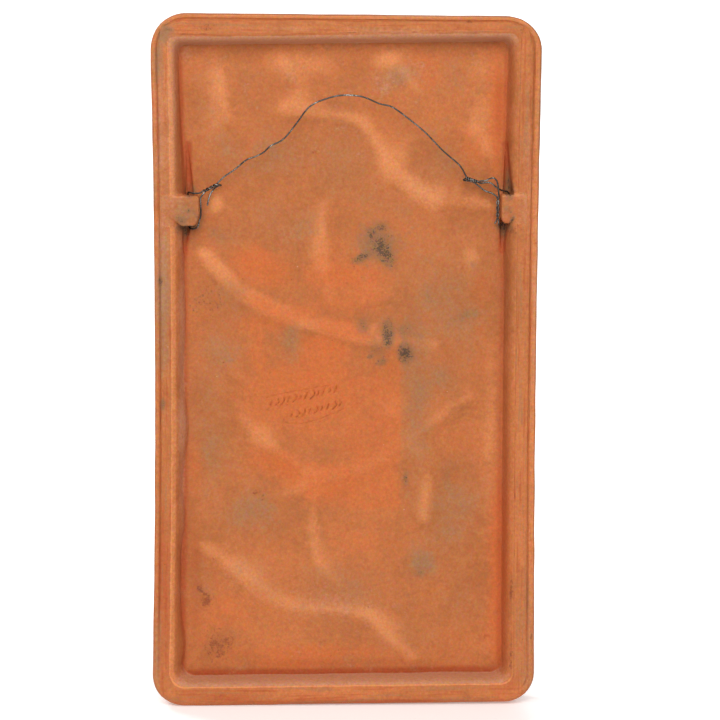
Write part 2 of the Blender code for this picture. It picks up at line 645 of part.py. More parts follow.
def blossom():
    """The open blossom at the stem's tip: petals round a raised eye, with one place left for the stem."""
    centre_z = HALF_HEIGHT * BLOSSOM_PLACE
    centre_x = stem_x(centre_z)
    stem_run = Vector((centre_x - stem_x(centre_z - HALF_WIDTH * PETAL_SHARE), HALF_WIDTH * PETAL_SHARE))
    stem_angle = math.atan2(-stem_run.x, -stem_run.y)
    place_angle = 2 * math.pi / PETAL_PLACES
    room = math.tan(place_angle / 2) * (PETAL_START_SHARE + PETAL_SHARE / 2)
    pieces = []
    for index in range(1, PETAL_PLACES):
        angle = stem_angle + place_angle * index
        direction = (math.sin(angle), math.cos(angle))
        base = (centre_x + direction[0] * HALF_WIDTH * PETAL_START_SHARE,
                centre_z + direction[1] * HALF_WIDTH * PETAL_START_SHARE)
        pieces.append(leaf_solid(f"petal_{index}", base, direction, HALF_WIDTH * PETAL_SHARE,
                                 HALF_WIDTH * room * PETAL_FULLNESS, SPRIG_RELIEF, steps=4))
    eye_width = 2 * HALF_WIDTH * EYE_SHARE
    pieces.append(tapered_rod("blossom_eye", Vector((centre_x, FIELD_Y + SPRIG_BEDDING, centre_z)),
                              Vector((centre_x, FIELD_Y - SPRIG_RELIEF, centre_z)),
                              eye_width, eye_width * EYE_TAPER))
    return pieces


def add_boolean(target, name, operation, operands):
    """Joins all the operands to a piece, or cuts them out of it."""
    collection = bpy.data.collections.new(name)
    bpy.context.scene.collection.children.link(collection)
    for operand in operands:
        make_guide(operand, collection)
    modifier = target.modifiers.new(name, "BOOLEAN")
    modifier.operation = operation
    modifier.operand_type = "COLLECTION"
    modifier.collection = collection
    modifier.solver = "EXACT"


def make_plaque(material):
    """The whole clay piece, with its lugs and sprig joined on and its holes cut."""
    plaque = plaque_body()
    plaque.data.materials.append(material)
    lugs = [lug_solid(lug) for lug in LUGS]
    add_boolean(plaque, "raised_work", "UNION", lugs + [stem_solid()] + sprig_leaves() + blossom())
    cutters = [cutter for lug in LUGS for cutter in lug_cutters(lug)]
    add_boolean(plaque, "tool_work", "DIFFERENCE", cutters)
    shade_round(plaque, 40)
    return plaque


def twist(start, end, phase_turns, turns=TWIST_TURNS):
    """One strand of a twisted pair, from start to end of their common axis."""
    axis = (end - start).normalized()
    beside = axis.cross(Vector((0.0, 1.0, 0.0))).normalized()
    outward = axis.cross(beside)
    steps = round(turns * STEPS_PER_TURN)
    points = []
    for step in range(steps + 1):
        angle = 2 * math.pi * (turns * step / steps + phase_turns)
        offset = beside * math.cos(angle) + outward * math.sin(angle)
        points.append(start.lerp(end, step / steps) + offset * TWIST_RADIUS)
    return points


def beside_lug(lug, inward, y, up):
    """A point of the wire, from the axis of a lug's hole and the height of the lug's top."""
    return Vector((inset_x(lug, lug.hole_inset) - lug.side * inward, y, lug.top + up))


def route_beside(lug, places, base=0.0):
    """A stretch of the wire's route, with its heights measured from a base above or below the lug's top."""
    return [beside_lug(lug, inward, y, base + up) for inward, y, up in places]


def passage_through(lug):
    """The wire inside a lug's hole, from the top mouth down."""
    depths = (LUG_CORNER, lug.height / 2, lug.height - LUG_CORNER)
    return [beside_lug(lug, between(lug.wire_shift, lug.wire_foot_shift, depth / lug.height), -HOLE_DEPTH,
                       -depth) for depth in depths]


def plus_x_end():
    """The wire at the +X lug: the free tail, the knot, round the lug, and out again to the arch."""
    lug = LUGS[0]
    outer = beside_lug(lug, *PLUS_X_KNOT_OUTER)
    inner = beside_lug(lug, *PLUS_X_KNOT_INNER)
    inward = lug.reach - lug.hole_inset + WIRE_CLEARANCE + WIRE_DIAMETER / 2
    chamfer_top = lug.chamfer_height - lug.height
    down_the_side = [
        beside_lug(lug, inward, SIDE_STRAND_Y, -LUG_CORNER),
        beside_lug(lug, inward, SIDE_STRAND_Y, chamfer_top / 2),
        beside_lug(lug, inward, SIDE_STRAND_Y, chamfer_top),
        beside_lug(lug, inward - lug.chamfer_run / 2, SIDE_STRAND_Y, chamfer_top - lug.chamfer_height / 2),
        beside_lug(lug, inward - lug.chamfer_run, between(SIDE_STRAND_Y, -HOLE_DEPTH, 0.2),
                   -lug.height - WIRE_CLEARANCE),
        beside_lug(lug, inward - lug.chamfer_run - LUG_CORNER, between(SIDE_STRAND_Y, -HOLE_DEPTH, 0.4),
                   -lug.height - 3 * WIRE_CLEARANCE),
    ]
    under = route_beside(lug, PLUS_X_UNDER_BELOW, -lug.height)
    returning = twist(outer, inner, 0.5)
    leaving = twist(outer, inner, 0.0)[::-1]
    return (route_beside(lug, PLUS_X_TAIL) + returning + down_the_side + under + passage_through(lug)[::-1]
            + route_beside(lug, PLUS_X_LEAVING) + leaving)


def minus_x_end():
    """The wire at the -X lug: in from the arch, the knot, round the lug, the knot and a twisted tail."""
    lug = LUGS[1]
    outer = beside_lug(lug, *MINUS_X_KNOT_OUTER)
    inner = beside_lug(lug, *MINUS_X_KNOT_INNER)
    pair_inward = lug.reach - lug.hole_inset + WIRE_CLEARANCE + WIRE_DIAMETER / 2 + TWIST_RADIUS
    pair_low = beside_lug(lug, pair_inward, SIDE_STRAND_Y, LUG_CORNER - lug.height)
    pair_high = beside_lug(lug, pair_inward, SIDE_STRAND_Y, -LUG_CORNER)
    under = route_beside(lug, MINUS_X_UNDER_BELOW, -lug.height)
    tail_end = beside_lug(lug, pair_inward + 3 * TWIST_RADIUS, SIDE_STRAND_Y, -lug.height - WIRE_CLEARANCE)
    arriving = twist(outer, inner, 0.75, MINUS_X_KNOT_TURNS)
    turning_back = twist(outer, inner, 0.25, MINUS_X_KNOT_TURNS)[::-1]
    return (arriving + route_beside(lug, MINUS_X_ENTERING) + passage_through(lug) + under
            + twist(pair_low, pair_high, 0.0) + route_beside(lug, MINUS_X_HUMP)
            + turning_back + route_beside(lug, MINUS_X_TURNING)
            + route_beside(lug, MINUS_X_LOWER_ARC) + twist(pair_low, pair_high, 0.5)[::-1] + [tail_end])


def arch_points():
    """The free wire between the knots, with the small kinks of a wire that was bent by hand."""
    start = beside_lug(LUGS[0], *PLUS_X_KNOT_OUTER)
    end = beside_lug(LUGS[1], *MINUS_X_KNOT_OUTER)
    points = []
    for across, rise in ARCH_SHAPE:
        point = start.lerp(end, across)
        point.z = start.z + rise * ARCH_RISE
        point.y = ARCH_END_Y + rise * (ARCH_TOP_Y - ARCH_END_Y)
        points.append(point)
    return points


def smooth_route(points, longest_step):
    """Points along a smooth curve through the route, no further apart than the longest step."""
    route = [points[0], points[0], *points[1:-1], points[-1], points[-1]]
    smooth = []
    for before, start, end, after in zip(route, route[1:], route[2:], route[3:]):
        steps = max(1, math.ceil((end - start).length / longest_step))
        for step in range(steps):
            t = step / steps
            smooth.append(0.5 * ((2 * start) + (end - before) * t
                                 + (2 * before - 5 * start + 4 * end - after) * t ** 2
                                 + (3 * start - before - 3 * end + after) * t ** 3))
    smooth.append(points[-1])
    return smooth


def make_wire(material):
    """The hanging wire, one length of iron from tail to tail."""
    points = smooth_route(plus_x_end() + arch_points() + minus_x_end(), WIRE_STEP)
    curve = bpy.data.curves.new("hanging_wire", "CURVE")
    curve.dimensions = "3D"
    curve.bevel_depth = WIRE_DIAMETER / 2
    curve.bevel_resolution = 2
    curve.use_fill_caps = True
    spline = curve.splines.new("POLY")
    spline.points.add(len(points) - 1)
    for target, point in zip(spline.points, points):
        target.co = (*point, 1.0)
    curve.materials.append(material)
    wire = bpy.data.objects.new("hanging_wire", curve)
    bpy.context.scene.collection.objects.link(wire)
    return wire


def build():
    remove_everything()
    terracotta = make_material("terracotta", (0.50, 0.16, 0.05), 0.85, 0.0)
    iron = make_material("iron_wire", (0.10, 0.095, 0.09), 0.45, 1.0)
    placement = bpy.data.objects.new("plaque_centre", None)
    placement.location = (0.0, 0.0, PLAQUE_CENTRE_Z)
    bpy.context.scene.collection.objects.link(placement)
    pieces = [make_plaque(terracotta), make_wire(iron)]
    for guide_or_piece in bpy.data.objects:
        if guide_or_piece is not placement:
            guide_or_piece.parent = placement


build()
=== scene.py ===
"""The looks of a hand-pressed terracotta wall plaque, seen from its hollow back with its iron hanging wire.

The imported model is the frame. The clay piece is modelled again with its finger ridges, pressed strokes, pits
and sprig, and the wire as a smooth round one. Both keep the solids' places and sizes. +Z is up, the front
faces -Y, and the back of the rim lies in the plane y = 0. All sizes are metres, unless a comment says
otherwise.
"""
import math
from collections import namedtuple

import bmesh
import bpy
import numpy as np
from mathutils import Matrix, Vector


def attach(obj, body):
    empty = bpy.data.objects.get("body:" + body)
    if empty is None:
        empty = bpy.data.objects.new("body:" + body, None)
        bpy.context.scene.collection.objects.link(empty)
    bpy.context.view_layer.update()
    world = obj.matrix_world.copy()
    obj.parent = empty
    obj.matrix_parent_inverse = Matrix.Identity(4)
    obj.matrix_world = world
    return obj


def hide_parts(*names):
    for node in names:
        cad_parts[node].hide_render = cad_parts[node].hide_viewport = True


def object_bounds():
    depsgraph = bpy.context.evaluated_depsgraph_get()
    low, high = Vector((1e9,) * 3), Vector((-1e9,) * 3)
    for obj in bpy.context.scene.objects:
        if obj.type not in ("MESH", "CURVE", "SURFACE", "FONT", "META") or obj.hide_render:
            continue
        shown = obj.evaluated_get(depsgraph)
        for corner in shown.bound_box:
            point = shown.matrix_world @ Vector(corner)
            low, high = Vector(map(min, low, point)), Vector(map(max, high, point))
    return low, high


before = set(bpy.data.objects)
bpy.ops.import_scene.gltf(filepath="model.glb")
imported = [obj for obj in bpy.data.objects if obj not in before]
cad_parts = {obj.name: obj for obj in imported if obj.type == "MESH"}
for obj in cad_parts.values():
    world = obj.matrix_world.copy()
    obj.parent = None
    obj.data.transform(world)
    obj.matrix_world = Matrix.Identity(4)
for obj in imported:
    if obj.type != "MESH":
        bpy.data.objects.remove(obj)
CAD_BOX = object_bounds()

bl_info = {
    "name": "Terracotta wall plaque",
    "version": (1, 0, 0),
    "blender": (4, 5, 0),
    "location": "View3D > Sidebar > Plaque",
    "description": "Builds a hand-pressed clay plaque with its hanging wire and a plain pale stage",
    "category": "Add Mesh",
}

Sides = namedtuple("Sides", "plus_x minus_x top bottom")
Corners = namedtuple("Corners", "bottom_minus_x bottom_plus_x top_plus_x top_minus_x")
MM = 0.001

# The plaque as a whole
PLAQUE_WIDTH = 0.190
PLAQUE_HEIGHT = 0.340
PLAQUE_THICKNESS = 0.024
OUTER_RADII = Corners(0.0150, 0.0165, 0.0175, 0.0165)
WAIST_PLUS_X = 0.0020
WAIST_MINUS_X = 0.0011
TOP_SLOPE = 0.0055
BOTTOM_SLOPE = -0.0060
RECESS_TOP_SLOPE = -0.0145

# The back: a bead round the rim, a fine line, the flat land, the soft shoulder, the wall and the floor
STRIP_WIDTH = Sides(0.0027, 0.0036, 0.0022, 0.0036)
STRIP_DROP = 0.0030
LAND_WIDTH = Sides(0.0053, 0.0070, 0.0066, 0.0059)
WALL_RUN = Sides(0.0058, 0.0053, 0.0052, 0.0040)
RECESS_DEPTH = 0.0120
RECESS_RADII = Corners(0.0060, 0.0080, 0.0035, 0.0040)
SMALLEST_FILLET = 0.0030
# The bead's section: share of the strip's width, and depth below the land
BEAD_SECTION = (
    (0.08, 0.0017), (0.24, 0.0008), (0.42, 0.0006), (0.62, 0.0010), (0.80, 0.0010), (0.94, 0.0016),
)
# The fine line beside the bead: distance in from the strip, and depth below the land
LINE_SECTION = ((0.0, 0.0015), (0.00045, 0.0008), (0.0009, 0.0002), (0.0015, 0.0))
# Distances below the middle between which the bead and the line fade out
BEAD_FADE = (0.110, 0.155)
# The land: share of its width, and share of the way from the outline's slope at the top to the recess's
LAND_SECTION = ((0.42, 0.4), (0.62, 0.7), (0.82, 0.9), (1.00, 1.0))
# The wall's section: share of its run, and share of the recess's depth
WALL_SECTION = (
    (0.12, 0.012), (0.26, 0.04), (0.40, 0.09), (0.54, 0.18), (0.68, 0.34), (0.78, 0.58), (0.88, 0.84),
    (0.95, 0.965),
)

# The marks of fingers on the floor and the walls' feet are given as shares of these sizes
FINGER_WIDTH = 0.0120
CREST_SHARPNESS = 2.2
# How much broader than the ridges themselves the light clay on them is, and the darker clay beside them:
# rubbed clay, and painted light on the crests and painted shade beside them
LIGHT_CREST_BREADTH = 1.25
HOLLOW_BREADTH = 2.60
# Places where clay swells out of the side walls' feet: side, place and half length as shares of the half
# height, swelling as a share of a ridge's height
FOOT_SWELLINGS = (
    (1, 0.46, 0.20, 1.15),
    (1, 0.12, 0.12, 0.80),
    (1, -0.19, 0.10, 1.50),
    (1, -0.45, 0.06, 0.90),
    (1, -0.83, 0.07, 1.20),
    (-1, 0.46, 0.16, 0.70),
)

# The front: a raised border round a field that carries a low sprig
FRONT_EDGE_ROUND = 0.0040
BORDER_WIDTH = 0.0120
BORDER_SLOPE = 0.0025
FIELD_DEPTH = 0.0030
FIELD_CORNER = 0.0008
SPRIG_RELIEF = 0.0022
# The sprig, as shares of the half width or half height
STEM_BEND_SHARE = 0.10
STEM_FOOT_SHARE = -0.78
STEM_THICK_SHARE = 0.034
STEM_THIN_SHARE = 0.022
LEAF_COUNT = 8
FIRST_LEAF_PLACE = -0.66
LAST_LEAF_PLACE = 0.08
FIRST_LEAF_SHARE = 0.66
LAST_LEAF_SHARE = 0.42
LEAF_ANGLE = 42.0
LEAF_FULLNESS = 0.40
PETAL_FULLNESS = 0.66
BLOSSOM_PLACE = 0.54
PETAL_PLACES = 8
PETAL_START_SHARE = 0.07
PETAL_SHARE = 0.34
EYE_SHARE = 0.13

# The two lugs. Insets are measured inwards from the edge of the rim's land.
Lug = namedtuple("Lug", "side top reach height chamfer_run chamfer_height hole_inset foot_inset "
                        "upper_tip_inset lower_tip_inset wire_shift wire_foot_shift")
LUGS = (
    Lug(side=1, top=0.0826, reach=0.0143, height=0.0148, chamfer_run=0.0014, chamfer_height=0.0050,
        hole_inset=0.0098, foot_inset=0.0083, upper_tip_inset=0.0087, lower_tip_inset=0.0070,
        wire_shift=-0.0008, wire_foot_shift=-0.0006),
    Lug(side=-1, top=0.0834, reach=0.0080, height=0.0140, chamfer_run=0.0006, chamfer_height=0.0030,
        hole_inset=0.0042, foot_inset=0.0060, upper_tip_inset=0.0050, lower_tip_inset=0.0066,
        wire_shift=-0.0010, wire_foot_shift=0.0018),
)
LUG_FACE_SETBACK = 0.0001
LUG_FILLET = 0.0035
LUG_CORNER = 0.0012
LUG_EDGE_ROUND = 0.0010
LUG_FOOT_NOTCH = 0.0030
LUG_BEDDING = 0.0030
LUG_ROOT = 0.0035
LUG_VOXEL = 0.0005
HOLE_DIAMETER = 0.0040
HOLE_DEPTH = 0.0112
GROOVE_WIDTH = 0.0042
GROOVE_TIP_WIDTH = 0.0012
GROOVE_DEPTH = 0.0125
GROOVE_TIP_DEPTH = 0.0112
GROOVE_OVERRUN = 0.0010
UPPER_GROOVE_LENGTH = 0.024
LOWER_GROOVE_LENGTH = 0.014

# The wire
WIRE_CLEARANCE = 0.0005
TWIST_RADIUS = 0.0005
TWIST_TURNS = 2
MINUS_X_KNOT_TURNS = 2.5
SIDE_STRAND_Y = -0.0051
ARCH_END_Y = -0.0055
ARCH_TOP_Y = -0.0025
ARCH_RISE = 0.0430
# The wire's route beside each lug. Each point is measured inwards from the axis of the lug's hole, then comes
# its depth y, then its height above the lug's top or, in the lists named BELOW, its bottom.
PLUS_X_KNOT_OUTER = (0.0139, -0.0055, 0.0056)
PLUS_X_KNOT_INNER = (0.0071, -0.0055, 0.0020)
PLUS_X_TAIL = (
    (0.0086, -0.0068, -0.0052), (0.0091, -0.0070, -0.0026), (0.0099, -0.0073, 0.0000),
    (0.0117, -0.0076, 0.0028), (0.0138, -0.0076, 0.0043), (0.0153, -0.0068, 0.0047),
)
PLUS_X_UNDER_BELOW = ((0.0008, -0.0084, -0.0018), (-0.0004, -0.0102, -0.0008))
PLUS_X_LEAVING = (
    (-0.0008, -0.0096, 0.0010), (-0.0003, -0.0077, 0.0012), (0.0012, -0.0064, 0.0010),
    (0.0032, -0.0059, 0.0009), (0.0053, -0.0057, 0.0012),
)
MINUS_X_KNOT_OUTER = (0.0206, -0.0055, 0.0077)
MINUS_X_KNOT_INNER = (0.0152, -0.0055, 0.0060)
MINUS_X_ENTERING = (
    (0.0136, -0.0066, 0.0052), (0.0110, -0.0068, 0.0055), (0.0086, -0.0069, 0.0053),
    (0.0064, -0.0071, 0.0036), (0.0044, -0.0077, 0.0022), (0.0022, -0.0088, 0.0013),
    (0.0000, -0.0103, 0.0007),
)
MINUS_X_UNDER_BELOW = (
    (0.0022, -0.0104, -0.0006), (0.0030, -0.0086, -0.0014), (0.0042, -0.0068, -0.0012),
    (0.0047, -0.0058, -0.0004),
)
MINUS_X_HUMP = (
    (0.0050, -0.0044, 0.0014), (0.0053, -0.0040, 0.0042), (0.0061, -0.0039, 0.0068),
    (0.0075, -0.0040, 0.0079), (0.0092, -0.0043, 0.0076), (0.0114, -0.0046, 0.0066),
    (0.0138, -0.0046, 0.0064),
)
MINUS_X_TURNING = (
    (0.0220, -0.0067, 0.0068), (0.0211, -0.0077, 0.0064), (0.0190, -0.0079, 0.0062),
    (0.0166, -0.0078, 0.0054),
)
MINUS_X_LOWER_ARC = ((0.0142, -0.0076, 0.0036), (0.0112, -0.0072, 0.0014), (0.0082, -0.0068, 0.0004))
# The arch between its two knots: share of the span from the +X knot, and share of the rise
ARCH_SHAPE = (
    (0.024, 0.08), (0.065, 0.16), (0.113, 0.27), (0.150, 0.31), (0.183, 0.36), (0.210, 0.43),
    (0.247, 0.48), (0.276, 0.55), (0.320, 0.71), (0.345, 0.81), (0.369, 0.88), (0.409, 0.94),
    (0.486, 1.00), (0.572, 0.99), (0.645, 0.91), (0.698, 0.87), (0.768, 0.73), (0.833, 0.58),
    (0.903, 0.38), (0.969, 0.22), (0.994, 0.11),
)
TWIST_STEPS_PER_TURN = 16
WIRE_STEP = 0.0005

# Fineness of the clay's mesh: steps round half a corner, across and up, and cuts that split its faces further
CORNER_STEPS = 6
COLUMNS = 100
ROWS = 184
ROUND_STEPS = 32
STROKE_CUTS = 3
LUG_CUTS = 1
PIT_CUTS = 2
# How far the extra cuts reach beside, below and above the middle of a lug's top, and round a pit: a share of
# its radius and a margin in millimetres
CUTS_BESIDE_LUG = 0.011
CUTS_BELOW_LUG = 0.034
CUTS_ABOVE_LUG = 0.028
PIT_SPREAD = 2.2
PIT_MARGIN = 1.0

# Worked out from the sizes above
HALF_WIDTH = PLAQUE_WIDTH / 2
HALF_HEIGHT = PLAQUE_HEIGHT / 2
FRONT_Y = -PLAQUE_THICKNESS
FIELD_Y = FRONT_Y + FIELD_DEPTH
PLAQUE_CENTRE_Z = -(HALF_HEIGHT - STRIP_WIDTH.top - LAND_WIDTH.top / 2)

# Ridges and hollows that fingers left in the floor. Points are shares of the half width and half height, then
# come the mark's half width as a share of a finger's width and its height as a share of a ridge's height.
FLOOR_MARKS = (
    (((0.31, 0.73), (0.11, 0.72), (-0.07, 0.70), (-0.16, 0.64), (-0.24, 0.56), (-0.36, 0.50),
      (-0.47, 0.46)), 0.54, 1.00),
    (((-0.50, 0.50), (-0.78, 0.45)), 0.50, 0.62),
    (((0.67, 0.46),), 0.54, 0.75),
    (((0.73, 0.31), (0.62, 0.24), (0.44, 0.16), (0.25, 0.12), (0.05, 0.09), (-0.16, 0.06),
      (-0.47, 0.05)), 0.50, 0.94),
    (((0.11, 0.46), (0.12, 0.33), (0.09, 0.21)), 0.46, 0.50),
    (((0.45, 0.09), (0.43, 0.00)), 0.46, 0.31),
    (((0.67, 0.04), (0.59, -0.02), (0.49, -0.09)), 0.50, 0.50),
    (((0.53, -0.16), (0.41, -0.23), (0.25, -0.30), (0.11, -0.34)), 0.50, 0.88),
    (((0.31, -0.39), (0.13, -0.35), (-0.11, -0.31), (-0.29, -0.25), (-0.44, -0.18),
      (-0.65, -0.10)), 0.50, 0.69),
    (((-0.39, -0.27), (-0.43, -0.36), (-0.42, -0.46)), 0.50, 0.81),
    (((0.15, -0.37), (0.16, -0.50), (0.12, -0.59), (0.03, -0.65)), 0.50, 0.56),
    (((0.73, -0.54), (0.57, -0.60), (0.41, -0.68), (0.23, -0.72), (0.02, -0.73), (-0.14, -0.75),
      (-0.24, -0.81), (-0.36, -0.87)), 0.54, 0.81),
    (((0.65, 0.83), (0.61, 0.71)), 0.54, 0.56),
    (((0.34, 0.87), (0.23, 0.78)), 0.50, 0.44),
    (((-0.22, 0.87), (-0.37, 0.79)), 0.46, 0.69),
    (((-0.66, 0.67), (-0.76, 0.60)), 0.50, 0.56),
    (((-0.24, -0.15),), 0.67, 0.62),
    (((-0.65, 0.32), (-0.64, 0.20)), 0.50, 0.44),
    (((0.25, 0.26),), 0.83, -0.50),
    (((0.52, -0.02),), 0.92, -0.38),
    (((-0.58, -0.34),), 1.00, -0.75),
    (((0.0, 0.40), (-0.25, 0.30)), 1.17, -0.38),
    (((-0.20, -0.50), (-0.30, -0.62)), 1.25, -0.44),
    (((0.35, -0.50),), 1.17, -0.38),
    (((0.0, -0.86),), 1.08, -0.44),
    (((-0.05, 0.84),), 1.08, -0.38),
)

# Small pits and dents in the floor and the lugs: X and Z in millimetres from the middle, radius and depth
PITS = (
    (15.0, 103.0, 0.8, 0.5), (15.0, 101.0, 0.7, 0.4), (-49.0, 114.0, 0.8, 0.5), (-30.0, -54.0, 0.9, 0.6),
    (-30.0, -59.0, 0.7, 0.5), (-72.0, -139.0, 1.6, 0.9), (-81.5, -137.0, 1.0, 0.8), (-83.6, -137.0, 0.8, 0.6),
    (65.0, 64.0, 0.8, 0.4), (74.5, 80.0, 0.8, 0.5), (77.2, 77.4, 1.0, 0.5), (75.0, 74.6, 1.1, 0.7),
    (79.0, 73.6, 0.8, 0.5), (80.6, 78.6, 0.7, 0.5), (72.4, 72.0, 0.8, 0.5), (76.8, 70.4, 1.0, 0.7),
    (-77.6, 79.8, 0.8, 0.5), (-80.2, 76.6, 0.9, 0.5), (-77.4, 73.6, 0.9, 0.6), (-80.6, 72.0, 0.8, 0.6),
)
# Shallow pressed strokes on the floor, in two rows that rise towards -X: each row has its start and end in
# millimetres from the middle, the number of strokes and the strokes' height
STROKE_ROWS = (
    ((37.5, -20.8), (3.0, -13.4), 12, 5.4),
    ((27.5, -27.0), (0.6, -20.6), 9, 5.0),
)
# Thin lines pressed above and below the rows, in millimetres from the middle
STROKE_LINES = (
    ((38.4, -18.0), (30.0, -15.6), (20.0, -13.9), (7.0, -11.6)),
    ((29.4, -30.4), (22.0, -30.8), (12.0, -28.4), (-0.4, -23.2)),
    ((37.8, -23.6), (36.2, -24.6)),
    ((30.2, -28.2), (28.8, -30.6)),
)
# The lowest and highest corner of the area that the strokes and lines lie in, in millimetres from the middle
STROKE_AREA = ((-6, -34), (42, -8))
STROKE_SLANT = 0.35
STROKE_HALF_WIDTH = 0.00042
LINE_HALF_WIDTH = 0.00035


def millimetres(values):
    """Sizes in metres from a row of sizes in millimetres."""
    return tuple(value * MM for value in values)


# The settings that a user can change

def length_property(name, description, default, largest, smallest=0.0):
    """A length in metres."""
    return bpy.props.FloatProperty(name=name, description=description, default=default, min=smallest,
                                   max=largest, unit="LENGTH")


def colour_property(name, description, default):
    """A colour, as shares of red, green and blue light."""
    return bpy.props.FloatVectorProperty(name=name, description=description, default=default, min=0.0,
                                         max=1.0, subtype="COLOR", size=3)


def share_property(name, description, default):
    """A share from 0 to 1."""
    return bpy.props.FloatProperty(name=name, description=description, default=default, min=0.0, max=1.0,
                                   subtype="FACTOR")


def power_property(name, description, default):
    """A light's power in watts."""
    return bpy.props.FloatProperty(name=name, description=description, default=default, min=0.0, max=100.0,
                                   unit="POWER")


class PlaqueSizes(bpy.types.PropertyGroup):
    """Sizes of the clay's marks and of the wire."""
    ridge_height: length_property("Ridge height", "How far the strongest finger ridge stands out",
                                  0.0023, 0.003)
    stroke_depth: length_property("Stroke depth", "Depth of the shallow strokes pressed into the floor",
                                  0.00060, 0.001)
    clay_unevenness: length_property("Unevenness", "Height of the small random waves in the smoothed clay",
                                     0.00012, 0.0005)
    floor_swell: length_property("Swell", "Height of the floor's broad soft waves", 0.00055, 0.001)
    wire_diameter: length_property("Wire", "Diameter of the iron wire", 0.0008, 0.0010, 0.0005)


class PlaqueColours(bpy.types.PropertyGroup):
    """Colours of the clay, its stains and the wire."""
    clay: colour_property("Clay", "The fired clay's own orange", (0.500, 0.146, 0.041))
    warm_clay: colour_property("Warm clay", "Clean clay of a stronger orange", (0.560, 0.130, 0.029))
    # Also the colour of the painted highlights on the bead, lips, shoulders, crests, lug edges and sprig
    crest: colour_property("Crests", "Clay rubbed light on ridges and edges", (0.670, 0.240, 0.084))
    # Darkened, the hollow colour is also painted shade beside the ridges and round the sprig
    hollow: colour_property("Hollows", "Deeper brown clay in the hollows", (0.400, 0.124, 0.035))
    # Red clay that also serves as painted shade along the walls' feet and in the grooves by the lugs, and,
    # darkened, as the colour of the dark lines
    crease: colour_property("Creases", "Saturated red clay along the walls' feet and in the grooves",
                            (0.370, 0.062, 0.014))
    dust: colour_property("Dust", "Grey wall dust on the floor and the rim", (0.310, 0.152, 0.068))
    # Beige dust, which also serves as painted light on the top wall and as a painted highlight along the top
    # edge
    pale_dust: colour_property("Pale dust", "Beige dust on the recess's walls and the rim",
                               (0.520, 0.235, 0.125))
    # Dark smudges, also used as painted shade in the mouths of the lugs' holes and grooves
    soot: colour_property("Soot", "Dark smudges", (0.060, 0.042, 0.030))
    # Red-brown crusty patches and specks, also used as painted shade under the lugs and along the bottom edge
    scale: colour_property("Scale", "Red-brown crusty patches", (0.215, 0.050, 0.018))
    lime: colour_property("Lime", "Small pale specks in the clay", (0.62, 0.42, 0.26))
    iron: colour_property("Iron", "The wire's dark skin", (0.070, 0.067, 0.062))
    iron_bright: colour_property("Bare iron", "Where the wire's skin is rubbed off", (0.440, 0.425, 0.390))
    rust: colour_property("Rust", "Brown patches on the wire", (0.12, 0.070, 0.038))


class StageSettings(bpy.types.PropertyGroup):
    """The plain stage, its lights and its camera."""
    floor_colour: colour_property("Floor", "The stage's pale floor and backdrop", (0.93, 0.93, 0.93))
    # The floor's glow is painted light: the sheet gives off light itself, though it is no lamp
    floor_glow: bpy.props.FloatProperty(
        name="Floor glow", description="Light that the stage gives off itself, as a lit paper does",
        default=0.80, min=0.0, max=2.0)
    near_glow: share_property("Near glow", "Share of the glow on the floor near the plaque", 0.33)
    front_shade: share_property("Shade", "Share of the floor's paleness between the plaque and the camera",
                                0.50)
    room_light: bpy.props.FloatProperty(
        name="Room light", description="Strength of the even light from all round", default=0.34, min=0.0,
        max=3.0)
    key_power: power_property("Key light", "Power of the large soft light above", 11.0)
    fill_power: power_property("Fill light", "Power of the soft light beside the camera", 1.5)
    front_power: power_property("Front light", "Power of the soft light on the decorated front", 6.5)
    focal_length: bpy.props.FloatProperty(
        name="Focal length", description="The camera's focal length in millimetres", default=152.4, min=20.0,
        max=400.0, subtype="DISTANCE_CAMERA")


# Shader building

class Value:
    """A number in a shader. Python's operators on it add Math nodes."""

    def __init__(self, maker, socket):
        self.maker = maker
        self.socket = socket

    def math(self, operation, *values):
        return self.maker.node("ShaderNodeMath", {"operation": operation}, dict(enumerate(values)))

    def __add__(self, other):
        return self.math("ADD", self, other)

    def __radd__(self, other):
        return self.math("ADD", other, self)

    def __sub__(self, other):
        return self.math("SUBTRACT", self, other)

    def __rsub__(self, other):
        return self.math("SUBTRACT", other, self)

    def __mul__(self, other):
        return self.math("MULTIPLY", self, other)

    def __rmul__(self, other):
        return self.math("MULTIPLY", other, self)


